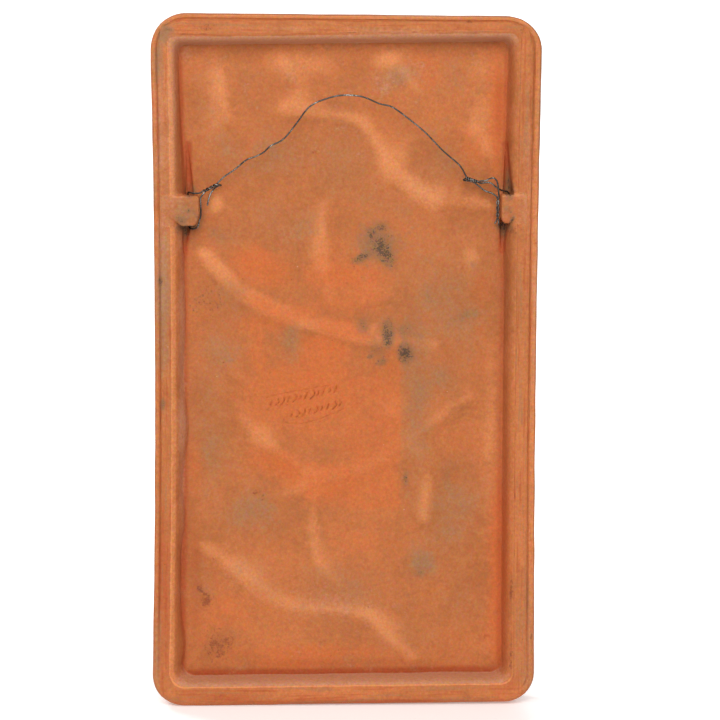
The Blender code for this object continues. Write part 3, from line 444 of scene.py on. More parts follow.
class MaterialMaker:
    """One material and the nodes that feed its Principled shader."""

    def __init__(self, name):
        self.material = bpy.data.materials.new(name)
        self.material.use_nodes = True
        self.tree = self.material.node_tree
        self.shader = self.tree.nodes["Principled BSDF"]

    def feed(self, socket, value):
        """Links a value to a socket, or sets the socket to it."""
        if isinstance(value, Value):
            self.tree.links.new(value.socket, socket)
        elif hasattr(socket.default_value, "__len__") and len(socket.default_value) == 4 and len(value) == 3:
            socket.default_value = (*value, 1.0)
        else:
            socket.default_value = value

    def node(self, kind, settings=None, inputs=None, output=0):
        """Adds a node: its settings first, then what goes into its sockets. Gives one of its outputs."""
        node = self.tree.nodes.new(kind)
        for name, setting in (settings or {}).items():
            setattr(node, name, setting)
        for name, value in (inputs or {}).items():
            self.feed(node.inputs[name], value)
        return Value(self, node.outputs[output])

    def attribute(self, name):
        """A number stored on the mesh's points."""
        return self.node("ShaderNodeAttribute", {"attribute_name": name}, output="Fac")

    def place(self, stretch=(1.0, 1.0, 1.0)):
        """The place on the object in metres, stretched along its axes."""
        place = self.node("ShaderNodeTexCoord", output="Object")
        return self.node("ShaderNodeVectorMath", {"operation": "MULTIPLY"}, {0: place, 1: stretch})

    def noise(self, size, detail=3.0, roughness=0.55, stretch=(1.0, 1.0, 1.0), output="Fac"):
        """Cloudy noise from 0 to 1, whose largest spots are about as wide as the size."""
        return self.node("ShaderNodeTexNoise", {"noise_dimensions": "3D"}, {
            "Vector": self.place(stretch), "Scale": 1.0 / size, "Detail": detail,
            "Roughness": roughness}, output)

    def cells(self, size):
        """Distance to the nearest of scattered points, as a share of their spacing."""
        return self.node("ShaderNodeTexVoronoi", {"voronoi_dimensions": "3D", "feature": "F1"}, {
            "Vector": self.place(), "Scale": 1.0 / size}, "Distance")

    def between(self, value, low, high):
        """0 below the low value, 1 above the high one, and a smooth step between them."""
        return self.node("ShaderNodeMapRange", {"interpolation_type": "SMOOTHSTEP", "clamp": True}, {
            "Value": value, "From Min": low, "From Max": high, "To Min": 0.0, "To Max": 1.0})

    def band(self, value, low, full_from, full_to, high):
        """1 between the two middle values, with smooth steps down to 0 at the outer ones."""
        return self.between(value, low, full_from) * (1.0 - self.between(value, full_to, high))

    def mix(self, factor, first, second, blend="MIX"):
        """The first colour at factor 0 and the second at factor 1."""
        return self.node("ShaderNodeMix", {"data_type": "RGBA", "blend_type": blend, "clamp_factor": True},
                         {0: factor, 6: first, 7: second}, 2)

    def bump(self, height, distance, strength=1.0, normal=None):
        """The shading of small heights, as a normal."""
        inputs = {"Height": height, "Distance": distance, "Strength": strength}
        if normal is not None:
            inputs["Normal"] = normal
        return self.node("ShaderNodeBump", {}, inputs)

    def finish(self, **sockets):
        """Feeds the shader's sockets, named with underscores for spaces."""
        for name, value in sockets.items():
            self.feed(self.shader.inputs[name.replace("_", " ")], value)
        return self.material


def darker(colour, share):
    """A colour with only a share of its light."""
    return tuple(share * part for part in colour)


# Sizes of the clay's random patterns: how wide the largest spots are, or how far apart points lie
CLOUD_SIZE = 0.060
BLOTCH_SIZE = 0.014
MOTTLE_SIZE = 0.0042
GRAIN_SIZE = 0.0017
FINE_SIZE = 0.0006
MOTE_SIZE = 0.0013
SPECK_SPACING = 0.0065
LIME_SPACING = 0.0150
# The rim's streaks are this much longer than they are wide
STREAK_STRETCH = 20.0
# Share of red, green and blue where there is no speckle, and what a full speckle adds
SPECKLE = ((0.66, 0.68), (0.54, 0.92), (0.40, 1.20))
# What the coloured motes multiply red, green and blue by: this much of each mote's own, added to the base
MOTE_GAIN = (0.64, 1.00, 2.20)
MOTE_BASE = (0.68, 0.50, -0.10)
# Depths of the finest relief and of the streaks, for the shading
RELIEF_DEPTH = 0.00022
STREAK_DEPTH = 0.00025


def clay_material(colours):
    """Fired clay: mottled orange, light lips and crests with painted highlights, red creases, dust, dark
    smudges and crusty patches, and painted shade.
    """
    maker = MaterialMaker("fired_clay")
    clouds = maker.noise(CLOUD_SIZE, detail=4.0)
    blotches = maker.noise(BLOTCH_SIZE, detail=4.0, roughness=0.6)
    mottle = maker.noise(MOTTLE_SIZE, detail=4.0, roughness=0.65)
    grain = maker.noise(GRAIN_SIZE, detail=4.0, roughness=0.75)
    fine = maker.noise(FINE_SIZE, detail=2.0, roughness=0.6)
    at_end = maker.attribute("rim_end")
    along_sides = maker.noise(GRAIN_SIZE, roughness=0.6, stretch=(1.0, 1.0, 1.0 / STREAK_STRETCH))
    along_ends = maker.noise(GRAIN_SIZE, roughness=0.6, stretch=(1.0 / STREAK_STRETCH, 1.0, 1.0))
    streaks = along_sides * (1.0 - at_end) + along_ends * at_end

    section = maker.attribute("section") + (blotches - 0.5) * 0.10 + (mottle - 0.5) * 0.10
    rim = maker.between(section, 0.9, 1.1) * (1.0 - maker.between(section, 2.95, 3.2))
    # The bead, the lip and the shoulder bands are painted highlights; the line at the land's end is painted
    # shade
    bead = maker.band(section, 1.10, 1.35, 1.80, 1.98) * maker.attribute("bead_light")
    bead_line = maker.band(section, 1.95, 2.02, 2.07, 2.15) * maker.attribute("bead_line")
    lip_line = maker.band(section, 2.90, 2.97, 3.02, 3.10) * maker.attribute("lip_line")
    lip = maker.band(section, 2.96, 3.03, 3.10, 3.22) * maker.attribute("lip_light")
    shoulder = maker.band(section, 2.98, 3.10, 3.36, 3.62) * maker.attribute("shoulder_light")
    # Beige dust on the walls; on the top wall, which faces down, it is also painted light
    wall_dust = maker.band(section, 3.10, 3.25, 3.92, 4.02) * maker.attribute("wall_dust")

    tone = clouds * 0.45 + blotches * 0.33 + mottle * 0.22
    colour = maker.mix(maker.between(tone, 0.38, 0.59), colours.hollow, colours.clay)
    # Light crests and darker clay beside them: rubbed clay, and painted light and shade that make the ridges
    # and the sprig read
    ridge = maker.attribute("ridge")
    pale = maker.attribute("pale") * 1.15 + ridge * 1.35 + rim * 0.25 + (tone - 0.5) * 1.2
    colour = maker.mix(maker.between(pale, 0.05, 0.95) * 0.75, colour, colours.crest)
    warm = maker.attribute("warm") + (blotches - 0.5) * 0.6 + (mottle - 0.5) * 0.4
    colour = maker.mix(maker.between(warm, 0.08, 0.85) * 0.80, colour, colours.warm_clay)
    hollow_clay_and_shade = maker.between(ridge * -2.0 + (tone - 0.5), 0.10, 0.90)
    colour = maker.mix(hollow_clay_and_shade * 0.55, colour, darker(colours.hollow, 0.80))
    # Red clay at the walls' feet and in the grooves, which is also painted shade there
    crease = maker.attribute("crease") + (blotches - 0.5) * 0.4 + (mottle - 0.5) * 0.3
    colour = maker.mix(maker.between(crease, 0.20, 0.95) * 0.85, colour, colours.crease)
    colour = maker.mix(maker.between(streaks, 0.52, 0.64) * rim * 0.45, colour, colours.dust)
    colour = maker.mix((1.0 - maker.between(streaks, 0.36, 0.47)) * rim * 0.45, colour, colours.crease)

    dust = maker.attribute("dust") + (blotches - 0.5) * 1.1 + (mottle - 0.5) * 0.9 + (grain - 0.5) * 0.7
    dusty = maker.between(dust, 0.10, 1.05)
    colour = maker.mix(dusty * 0.95, colour, colours.dust)
    # Beige: dust, with painted light on the top wall and a painted highlight along the top edge
    beige = wall_dust + maker.attribute("pale_dust") + (blotches - 0.5) * 0.8 + (grain - 0.5) * 0.6
    colour = maker.mix(maker.between(beige, 0.15, 0.95) * 0.80, colour, colours.pale_dust)
    # Painted highlights on the bead, the lips and the shoulders
    light = maker.between(bead + lip + shoulder + (grain - 0.5) * 0.5, 0.25, 1.0)
    colour = maker.mix(light * 0.85, colour, colours.crest)
    # Dark lines: the fine line beside the bead and the pressed strokes, with painted shade at the land's end
    pressed = maker.attribute("pressed")
    lines = bead_line + lip_line + pressed * 0.7 + (mottle - 0.5) * 0.9 + (blotches - 0.5) * 1.3
    lines = maker.between(lines, 0.35, 0.95)
    colour = maker.mix(lines * 0.65, colour, darker(colours.crease, 0.60))
    # Crusty patches, with painted shade under the lugs and along the bottom edge
    scale = maker.between(maker.attribute("scale") + (grain - 0.5) * 2.6 + (mottle - 0.5) * 1.2, 0.55, 1.15)
    colour = maker.mix(scale * 0.80, colour, colours.scale)
    # Dark smudges and haze, with painted shade in the mouths of the lugs' holes and grooves
    smudge = maker.attribute("soot")
    haze = maker.between(smudge + (blotches - 0.5) * 0.6 + (mottle - 0.5) * 0.8, 0.05, 0.75)
    colour = maker.mix(haze * 0.75, colour, darker(colours.dust, 0.80))
    dots = maker.between(smudge * 0.60 + (grain - 0.5) * 1.7 + (fine - 0.5) * 1.2, 0.42, 0.74)
    soot = dots * maker.between(smudge, 0.12, 0.45)
    colour = maker.mix(soot * 0.82, colour, colours.soot)

    specks = 1.0 - maker.between(maker.cells(SPECK_SPACING), 0.035, 0.060)
    colour = maker.mix(specks * maker.between(blotches, 0.5, 0.6) * 0.5, colour, colours.scale)
    lime = 1.0 - maker.between(maker.cells(LIME_SPACING), 0.016, 0.026)
    colour = maker.mix(lime * 0.4, colour, colours.lime)
    speckle = mottle * 0.3 + grain * 0.5 + fine * 0.2
    shades = {index: base + speckle * gain for index, (base, gain) in enumerate(SPECKLE)}
    colour = maker.mix(1.0, colour, maker.node("ShaderNodeCombineColor", {}, shades), "MULTIPLY")
    motes = maker.noise(MOTE_SIZE, roughness=0.7, output="Color")
    colour = maker.mix(1.0, colour, maker.node("ShaderNodeVectorMath", {"operation": "MULTIPLY_ADD"}, {
        0: motes, 1: MOTE_GAIN, 2: MOTE_BASE}), "MULTIPLY")

    roughness = 0.68 + blotches * 0.14 + soot * 0.10 + dusty * 0.06
    relief = grain * 0.55 + fine * 0.25 + mottle * 0.40 - specks * 0.8 + scale * 0.5 - lines * 0.8
    normal = maker.bump(relief, RELIEF_DEPTH, 0.9)
    normal = maker.bump(streaks * rim, STREAK_DEPTH, 0.8, normal)
    return maker.finish(Base_Color=colour, Roughness=roughness, Normal=normal, Specular_IOR_Level=0.30)


# Sizes of the wire's patterns, and the depth of its pitting
SKIN_PATCH_SIZE = 0.0040
RUST_PATCH_SIZE = 0.0090
PITTING_SIZE = 0.0006
PITTING_DEPTH = 0.00006


def iron_material(colours):
    """Old iron wire: a dark dull skin, rubbed bright in places, with a little brown."""
    maker = MaterialMaker("old_iron")
    patches = maker.noise(SKIN_PATCH_SIZE, roughness=0.6)
    pitting = maker.noise(PITTING_SIZE, roughness=0.7)
    bright = maker.between(patches + (pitting - 0.5) * 0.6, 0.46, 0.66)
    brown = maker.between(maker.noise(RUST_PATCH_SIZE), 0.56, 0.70)
    colour = maker.mix(bright * 0.55, colours.iron, colours.iron_bright)
    colour = maker.mix(brown * 0.35, colour, colours.rust)
    roughness = 0.36 - bright * 0.10 + brown * 0.2
    normal = maker.bump(pitting, PITTING_DEPTH, 0.7)
    return maker.finish(Base_Color=colour, Roughness=roughness, Normal=normal, Metallic=0.85)


FLOOR_CLOUD_SIZE = 0.35
# Places along Y between which the sheet's glow weakens towards the plaque, its paleness and glow fade on the
# camera's side, and both come back beyond that
GLOW_RANGE = (-0.60, 0.02)
SHADE_RANGE = (0.04, 0.35)
PALE_AGAIN_RANGE = (0.90, 1.80)


def stage_material(settings):
    """A plain pale smooth sheet that glows with painted light of its own, most of all far past the plaque's
    front.
    """
    maker = MaterialMaker("stage_sheet")
    clouds = maker.noise(FLOOR_CLOUD_SIZE, detail=2.0)
    paint = maker.mix(clouds * 0.06, settings.floor_colour, darker(settings.floor_colour, 0.97))
    place = maker.node("ShaderNodeSeparateXYZ", {}, {"Vector": maker.place()}, "Y")
    before = maker.band(place, *SHADE_RANGE, *PALE_AGAIN_RANGE)
    paint = maker.mix(before, paint, darker(settings.floor_colour, settings.front_shade))
    glow = maker.mix(maker.between(place, *GLOW_RANGE), (1.0, 1.0, 1.0), (settings.near_glow,) * 3)
    glow = maker.mix(before, glow, (0.0, 0.0, 0.0))
    return maker.finish(Base_Color=paint, Roughness=0.42, Specular_IOR_Level=0.5,
                        Emission_Color=glow, Emission_Strength=settings.floor_glow)


# Shape helpers

def waves(x, z, length, seed, count=24):
    """Smooth random heights from about -1 to 1, whose hills are about a set length apart."""
    random = np.random.default_rng(seed)
    angles = random.uniform(0.0, 2 * math.pi, count)
    phases = random.uniform(0.0, 2 * math.pi, count)
    lengths = length * random.uniform(0.75, 1.5, count)
    total = np.zeros_like(x)
    for angle, phase, wave in zip(angles, phases, lengths):
        total += np.sin(2 * math.pi * (x * math.cos(angle) + z * math.sin(angle)) / wave + phase)
    return total / math.sqrt(count)


def smooth_step(values, low, high):
    """0 below the low value, 1 above the high one, and a smooth step between them."""
    share = np.clip((values - low) / (high - low), 0.0, 1.0)
    return share * share * (3 - 2 * share)


def between(first, last, share):
    """A value part of the way from the first to the last."""
    return first + (last - first) * share


def store(mesh, name, values):
    """Keeps one number for each of a mesh's points, for the materials."""
    kept = mesh.attributes.get(name) or mesh.attributes.new(name, "FLOAT", "POINT")
    kept.data.foreach_set("value", np.asarray(values, np.float32))


def link_new(name, data):
    """A new object with the data, in the scene."""
    made = bpy.data.objects.new(name, data)
    bpy.context.scene.collection.objects.link(made)
    return made


def mesh_from(name, shape):
    """A new mesh from a shape that is being edited, which ends there."""
    mesh = bpy.data.meshes.new(name)
    shape.to_mesh(mesh)
    shape.free()
    return mesh


def point_places(mesh):
    """The places of a mesh's points, a row for each."""
    places = np.zeros(len(mesh.vertices) * 3, np.float32)
    mesh.vertices.foreach_get("co", places)
    return places.reshape(-1, 3)


def distance_to_path(x, z, path):
    """Shortest distance from each point to a run of straight pieces, or to its only point."""
    if len(path) == 1:
        return np.hypot(x - path[0][0], z - path[0][1])
    shortest = np.full_like(x, np.inf)
    for (start_x, start_z), (end_x, end_z) in zip(path, path[1:]):
        run_x = end_x - start_x
        run_z = end_z - start_z
        along = np.clip(((x - start_x) * run_x + (z - start_z) * run_z) / (run_x ** 2 + run_z ** 2), 0.0, 1.0)
        shortest = np.minimum(shortest, np.hypot(x - start_x - along * run_x, z - start_z - along * run_z))
    return shortest


def smooth_path(points, pieces=6):
    """A finer run of points along a smooth curve through the given ones."""
    if len(points) < 3:
        return list(points)
    route = [Vector(p) for p in points]
    route = [route[0], *route, route[-1]]
    smooth = []
    for before, start, end, after in zip(route, route[1:], route[2:], route[3:]):
        for step in range(pieces):
            smooth.append(tuple(through(before, start, end, after, step / pieces)))
    smooth.append(tuple(route[-1]))
    return smooth


def through(before, start, end, after, t):
    """A point of the smooth curve that passes through start and end."""
    return 0.5 * ((2 * start) + (end - before) * t + (2 * before - 5 * start + 4 * end - after) * t ** 2
                  + (3 * start - before - 3 * end + after) * t ** 3)


def sides_sum(first, second, share=1.0):
    """The first widths, with a share of the second added side by side."""
    return Sides(*(one + share * other for one, other in zip(first, second)))


def all_round(width):
    """One width on every side."""
    return Sides(width, width, width, width)


def tightened(radii, inset):
    """Corner radii a distance further in, never less than a small fillet."""
    return Corners(*(max(radius - inset, SMALLEST_FILLET) for radius in radii))


def rounded_perimeter(low_x, high_x, low_z, high_z, radii):
    """Points round a rectangle with rounded corners, from the middle of the bottom -X corner to +X and up."""
    corners = (
        (low_x + radii.bottom_minus_x, low_z + radii.bottom_minus_x, radii.bottom_minus_x, 180),
        (high_x - radii.bottom_plus_x, low_z + radii.bottom_plus_x, radii.bottom_plus_x, 270),
        (high_x - radii.top_plus_x, high_z - radii.top_plus_x, radii.top_plus_x, 0),
        (low_x + radii.top_minus_x, high_z - radii.top_minus_x, radii.top_minus_x, 90),
    )
    half_turn = np.arange(CORNER_STEPS) * 45 / CORNER_STEPS
    points = []
    for index, (x, z, radius, start_angle) in enumerate(corners):
        next_x, next_z, next_radius, next_angle = corners[(index + 1) % len(corners)]
        steps = COLUMNS if index % 2 == 0 else ROWS
        leaving = np.radians(start_angle + 45 + half_turn)
        points.append(np.stack([x + radius * np.cos(leaving), z + radius * np.sin(leaving)], 1))
        end = math.radians(start_angle + 90)
        start = math.radians(next_angle)
        line_start = np.array([x + radius * math.cos(end), z + radius * math.sin(end)])
        line_end = np.array([next_x + next_radius * math.cos(start), next_z + next_radius * math.sin(start)])
        shares = (np.arange(steps) / steps)[:, None]
        points.append(line_start + shares * (line_end - line_start))
        arriving = np.radians(next_angle + half_turn)
        points.append(np.stack([next_x + next_radius * np.cos(arriving),
                                next_z + next_radius * np.sin(arriving)], 1))
    return np.concatenate(points)


def ring(inset, radii, y, top_slope=TOP_SLOPE):
    """One closed line round the plaque, a set distance in from its outline, at depth y."""
    flat = rounded_perimeter(-HALF_WIDTH + inset.minus_x, HALF_WIDTH - inset.plus_x,
                             -HALF_HEIGHT + inset.bottom, HALF_HEIGHT - inset.top, radii)
    x, z = flat[:, 0], flat[:, 1]
    share = z / HALF_HEIGHT
    waist = np.where(x > 0, WAIST_PLUS_X, WAIST_MINUS_X)
    drawn_x = x - waist * (1 - share ** 2) * x / HALF_WIDTH
    tilt = top_slope * (1 + share) / 2 + BOTTOM_SLOPE * (1 - share) / 2
    return np.stack([drawn_x, np.full_like(x, y), z + tilt * x], 1)


def swollen(points, share, ridge_height):
    """A ring near the foot of the wall, with the swellings pushed into the recess."""
    x, z = points[:, 0], points[:, 2]
    total = np.zeros_like(x)
    for side, place, half_length, swelling in FOOT_SWELLINGS:
        bump = ridge_height * swelling * np.exp(-((z / HALF_HEIGHT - place) / half_length) ** 2)
        total += np.where(side * x > 0, bump, 0.0)
    moved = points.copy()
    moved[:, 0] -= np.sign(x) * share * total
    return moved


def faded(points, plain_depth):
    """A ring of the bead, which sinks to a plain rounded edge along the bottom of the rim."""
    share = smooth_step(-points[:, 2], *BEAD_FADE)
    faded_points = points.copy()
    faded_points[:, 1] = between(points[:, 1], -plain_depth, share)
    return faded_points


def rim_rings(sizes):
    """The plaque's section carried round it, from the front field, over the rim, down to the floor's edge.

    Each ring comes with its place in the section: 0 on the front and sides, 1 to 2 over the bead, 2 to 3 over
    the land and 3 to 4 down the wall.
    """
    field_edge = ring(all_round(BORDER_WIDTH + FIELD_CORNER), tightened(OUTER_RADII, BORDER_WIDTH), FIELD_Y)
    levels = [(0.0, field_edge)]
    for share in (0.0, 0.25, 0.75, 1.0):
        inset = BORDER_WIDTH - BORDER_SLOPE * share
        depth = between(FIELD_Y, FRONT_Y, float(smooth_step(share, -0.15, 1.15)))
        levels.append((0.0, ring(all_round(inset), tightened(OUTER_RADII, inset), depth)))
    for inset in np.linspace(BORDER_WIDTH - BORDER_SLOPE - FIELD_CORNER, FRONT_EDGE_ROUND, 4):
        levels.append((0.0, ring(all_round(inset), tightened(OUTER_RADII, inset), FRONT_Y)))
    for angle in np.linspace(0.0, math.pi / 2, 7)[1:]:
        inset = FRONT_EDGE_ROUND * (1 - math.sin(angle))
        depth = FRONT_Y + FRONT_EDGE_ROUND * (1 - math.cos(angle))
        levels.append((0.0, ring(all_round(inset), tightened(OUTER_RADII, inset), depth)))
    for depth in np.linspace(FRONT_Y + FRONT_EDGE_ROUND, -STRIP_DROP, 9)[1:]:
        levels.append((0.0, ring(all_round(0.0), OUTER_RADII, depth)))
    levels[-1] = (1.0, levels[-1][1])
    for share, depth in BEAD_SECTION:
        inset = sides_sum(all_round(0.0), STRIP_WIDTH, share)
        bead = ring(inset, tightened(OUTER_RADII, inset.plus_x), -depth)
        levels.append((1.0 + share, faded(bead, STRIP_DROP * (1 - share) ** 2.2)))
    line_radii = tightened(OUTER_RADII, STRIP_WIDTH.plus_x)
    for step, depth in LINE_SECTION:
        inset = sides_sum(STRIP_WIDTH, all_round(step))
        levels.append((2.0 + step / LAND_WIDTH.plus_x, faded(ring(inset, line_radii, -depth), 0.0)))
    for share, slope_share in LAND_SECTION:
        inset = sides_sum(STRIP_WIDTH, LAND_WIDTH, share)
        slope = between(TOP_SLOPE, RECESS_TOP_SLOPE, slope_share)
        levels.append((2.0 + share, ring(inset, RECESS_RADII, 0.0, slope)))
    land_end = sides_sum(STRIP_WIDTH, LAND_WIDTH)
    for run_share, depth_share in WALL_SECTION:
        level = ring(sides_sum(land_end, WALL_RUN, run_share), RECESS_RADII, -RECESS_DEPTH * depth_share,
                     RECESS_TOP_SLOPE)
        levels.append((3.0 + run_share, swollen(level, depth_share, sizes.ridge_height)))
    floor_edge = ring(sides_sum(land_end, WALL_RUN), RECESS_RADII, -RECESS_DEPTH, RECESS_TOP_SLOPE)
    return levels, swollen(floor_edge, 1.0, sizes.ridge_height)


def grid_between(edge):
    """Points spread evenly between the four sides of a closed line, as rows from the bottom up."""
    across = COLUMNS + 2 * CORNER_STEPS
    upward = ROWS + 2 * CORNER_STEPS
    bottom = edge[:across + 1]
    plus_side = edge[across:across + upward + 1]
    top = edge[across + upward:2 * across + upward + 1][::-1]
    minus_side = np.concatenate([edge[2 * across + upward:], edge[:1]])[::-1]
    u = ((bottom[:, 0] - bottom[0, 0]) / (bottom[-1, 0] - bottom[0, 0]))[None, :, None]
    v = ((minus_side[:, 2] - minus_side[0, 2]) / (minus_side[-1, 2] - minus_side[0, 2]))[:, None, None]
    along = bottom[None] * (1 - v) + top[None] * v
    beside = minus_side[:, None] * (1 - u) + plus_side[:, None] * u
    low = bottom[0] * (1 - u) + bottom[-1] * u
    high = top[0] * (1 - u) + top[-1] * u
    return along + beside - (low * (1 - v) + high * v)


def grid_faces(rows, columns, start, turned):
    """Four-cornered faces of a grid whose points are numbered from the start."""
    index = start + np.arange(rows * columns).reshape(rows, columns)
    corners = [index[:-1, :-1], index[:-1, 1:], index[1:, 1:], index[1:, :-1]]
    if turned:
        corners = corners[::-1]
    return np.stack([corner.ravel() for corner in corners], 1)


def grid_walk(rows, columns, start):
    """The numbers of a grid's edge points, in the order of the ring round it."""
    index = start + np.arange(rows * columns).reshape(rows, columns)
    return np.concatenate([index[0, :-1], index[:-1, -1], index[-1, :0:-1], index[:0:-1, 0]])


def plaque_body(sizes):
    """The clay tray before its marks are pressed in, as one closed mesh."""
    levels, floor_edge = rim_rings(sizes)
    count = len(floor_edge)
    field = grid_between(levels[0][1])
    floor = grid_between(floor_edge)
    rows, columns = floor.shape[:2]
    rings = [points for _, points in levels[1:]]
    vertices = np.concatenate([field.reshape(-1, 3), *rings, floor.reshape(-1, 3)])
    sections = np.concatenate([np.zeros(rows * columns), np.repeat([place for place, _ in levels[1:]], count),
                               np.full(rows * columns, 4.0)])
    ring_start = rows * columns
    floor_start = ring_start + (len(levels) - 1) * count
    loops = [grid_walk(rows, columns, 0)]
    loops += [ring_start + level * count + np.arange(count) for level in range(len(levels) - 1)]
    loops.append(grid_walk(rows, columns, floor_start))
    faces = [grid_faces(rows, columns, 0, False)]
    for lower, upper in zip(loops, loops[1:]):
        faces.append(np.stack([lower, np.roll(lower, -1), np.roll(upper, -1), upper], 1))
    faces.append(grid_faces(rows, columns, floor_start, True))
    mesh = bpy.data.meshes.new("plaque_clay")
    mesh.from_pydata(vertices.tolist(), [], np.concatenate(faces).tolist())
    store(mesh, "section", sections)
    body = bmesh.new()
    body.from_mesh(mesh)
    bmesh.ops.recalc_face_normals(body, faces=body.faces)
    return mesh, body


# Relief of the floor, of the front and of the rim

def floor_relief(x, z, sizes, breadth=1.0):
    """Height of the hand-pressed ridges and hollows at each point of the floor, made broader where asked."""
    height = np.zeros_like(x)
    for shares, half_width, share in FLOOR_MARKS:
        path = smooth_path([(share_x * HALF_WIDTH, share_z * HALF_HEIGHT) for share_x, share_z in shares])
        away = distance_to_path(x, z, path) / (half_width * FINGER_WIDTH * breadth)
        crest = np.exp(-(CREST_SHARPNESS * away) ** 2)
        height += share * sizes.ridge_height * (0.6 * np.exp(-away ** 2) + 0.4 * crest)
    return height


def stroke_paths():
    """The pressed strokes' paths: short slanted dashes by turns straight and bowed, which form no letters."""
    paths = []
    for (start_x, start_z), (end_x, end_z), count, height in STROKE_ROWS:
        for index in range(count):
            share = (index + 0.5) / count
            x = between(start_x, end_x, share)
            z = between(start_z, end_z, share)
            tall = height * (0.35 + 0.45 * ((index * 7) % 5) / 4)
            lean = -STROKE_SLANT * tall
            bow = 0.16 * tall * ((index * 5) % 3)
            paths.append([millimetres((x - lean / 2, z - tall / 2)), millimetres((x - bow, z)),
                          millimetres((x + lean / 2, z + tall / 2))])
    return [smooth_path(path) for path in paths]


def pressed_strokes(x, z, sizes):
    """Depth of the strokes and thin lines at each point of the floor."""
    depth = np.zeros_like(x)
    low, high = (millimetres(corner) for corner in STROKE_AREA)
    near = (x > low[0]) & (x < high[0]) & (z > low[1]) & (z < high[1])
    if not near.any():
        return depth
    near_x, near_z = x[near], z[near]
    pressed = np.zeros_like(near_x)
    for path in stroke_paths():
        away = distance_to_path(near_x, near_z, path) / STROKE_HALF_WIDTH
        pressed = np.maximum(pressed, sizes.stroke_depth * np.exp(-away ** 2))
    for line in STROKE_LINES:
        path = smooth_path([millimetres(point) for point in line])
        away = distance_to_path(near_x, near_z, path) / LINE_HALF_WIDTH
        pressed = np.maximum(pressed, 0.7 * sizes.stroke_depth * np.exp(-away ** 2))
    depth[near] = pressed
    return depth


def pit_depth(x, z):
    """Depth of the small pits at each point."""
    depth = np.zeros_like(x)
    for pit_x, pit_z, radius, deep in PITS:
        away = np.hypot(x - pit_x * MM, z - pit_z * MM) / (radius * MM)
        depth += deep * MM * np.exp(-away ** 4)
    return depth


def stem_x(z):
    """The stem's gentle double bend across the field."""
    return STEM_BEND_SHARE * HALF_WIDTH * np.sin(1.5 * math.pi * z / HALF_HEIGHT)


def leaf_height(x, z, base, direction, length, half_width):
    """Share of the relief over a pointed leaf with a midrib: full at the rib, low at the edge."""
    along_x, along_z = direction
    along = ((x - base[0]) * along_x + (z - base[1]) * along_z) / length
    across = np.abs((x - base[0]) * -along_z + (z - base[1]) * along_x)
    inside = np.clip(along, 0.0, 1.0)
    width = half_width * np.sin(math.pi * inside ** 0.8) + 1e-9
    share = 1.0 - across / width
    vein = 0.10 * np.cos(2 * math.pi * (along * 7 - across / half_width * 1.2))
    body = 0.45 + 0.45 * np.clip(share, 0.0, 1.0) + vein * smooth_step(across, 0.0008, 0.002)
    rib = 0.25 * np.exp(-(across / 0.0009) ** 2)
    edge = smooth_step(share * width, -0.0022, 0.0017)
    ends = smooth_step(along, -0.02, 0.06) * (1 - smooth_step(along, 0.95, 1.02))
    return (body + rib) * edge * ends


def sprig_height(x, z):
    """Share of the relief over the stem, the leaves and the blossom on the front."""
    total = np.zeros_like(x)
    angle = math.radians(LEAF_ANGLE)
    same_side_gap = 2 * HALF_HEIGHT * (LAST_LEAF_PLACE - FIRST_LEAF_PLACE) / (LEAF_COUNT - 1)
    room = same_side_gap * math.sin(angle)
    for index in range(LEAF_COUNT):
        share = index / (LEAF_COUNT - 1)
        side = 1 if index % 2 == 0 else -1
        leaf_z = HALF_HEIGHT * between(FIRST_LEAF_PLACE, LAST_LEAF_PLACE, share)
        shortening = between(FIRST_LEAF_SHARE, LAST_LEAF_SHARE, share)
        half_width = room * LEAF_FULLNESS * shortening / FIRST_LEAF_SHARE
        total = np.maximum(total, leaf_height(x, z, (stem_x(leaf_z), leaf_z),
                                              (side * math.sin(angle), math.cos(angle)),
                                              HALF_WIDTH * shortening, half_width))
    climb = (z / HALF_HEIGHT - STEM_FOOT_SHARE) / (BLOSSOM_PLACE - STEM_FOOT_SHARE)
    half = HALF_WIDTH * between(STEM_THICK_SHARE, STEM_THIN_SHARE, np.clip(climb, 0.0, 1.0))
    away = np.abs(x - stem_x(z)) / half
    stem = 0.85 * smooth_step(half * (1 - away), -0.0016, 0.0022) * smooth_step(climb, 0.0, 0.02)
    total = np.maximum(total, stem * (1 - smooth_step(climb, 0.98, 1.0)))
    centre_z = HALF_HEIGHT * BLOSSOM_PLACE
    centre_x = stem_x(centre_z)
    run = HALF_WIDTH * PETAL_SHARE
    stem_angle = math.atan2(-(centre_x - stem_x(centre_z - run)), -run)
    place_angle = 2 * math.pi / PETAL_PLACES
    petal_room = math.tan(place_angle / 2) * (PETAL_START_SHARE + PETAL_SHARE / 2)
    petal_half_width = HALF_WIDTH * petal_room * PETAL_FULLNESS
    for index in range(1, PETAL_PLACES):
        turn = stem_angle + place_angle * index
        direction = (math.sin(turn), math.cos(turn))
        base = (centre_x + direction[0] * HALF_WIDTH * PETAL_START_SHARE,
                centre_z + direction[1] * HALF_WIDTH * PETAL_START_SHARE)
        total = np.maximum(total, leaf_height(x, z, base, direction, run, petal_half_width))
    eye_away = np.hypot(x - centre_x, z - centre_z) / (HALF_WIDTH * EYE_SHARE)
    eye = np.sqrt(np.clip(1 - eye_away ** 2, 0.0, 1.0)) * (0.9 + 0.08 * np.cos(eye_away * 22))
    return np.maximum(total, eye)


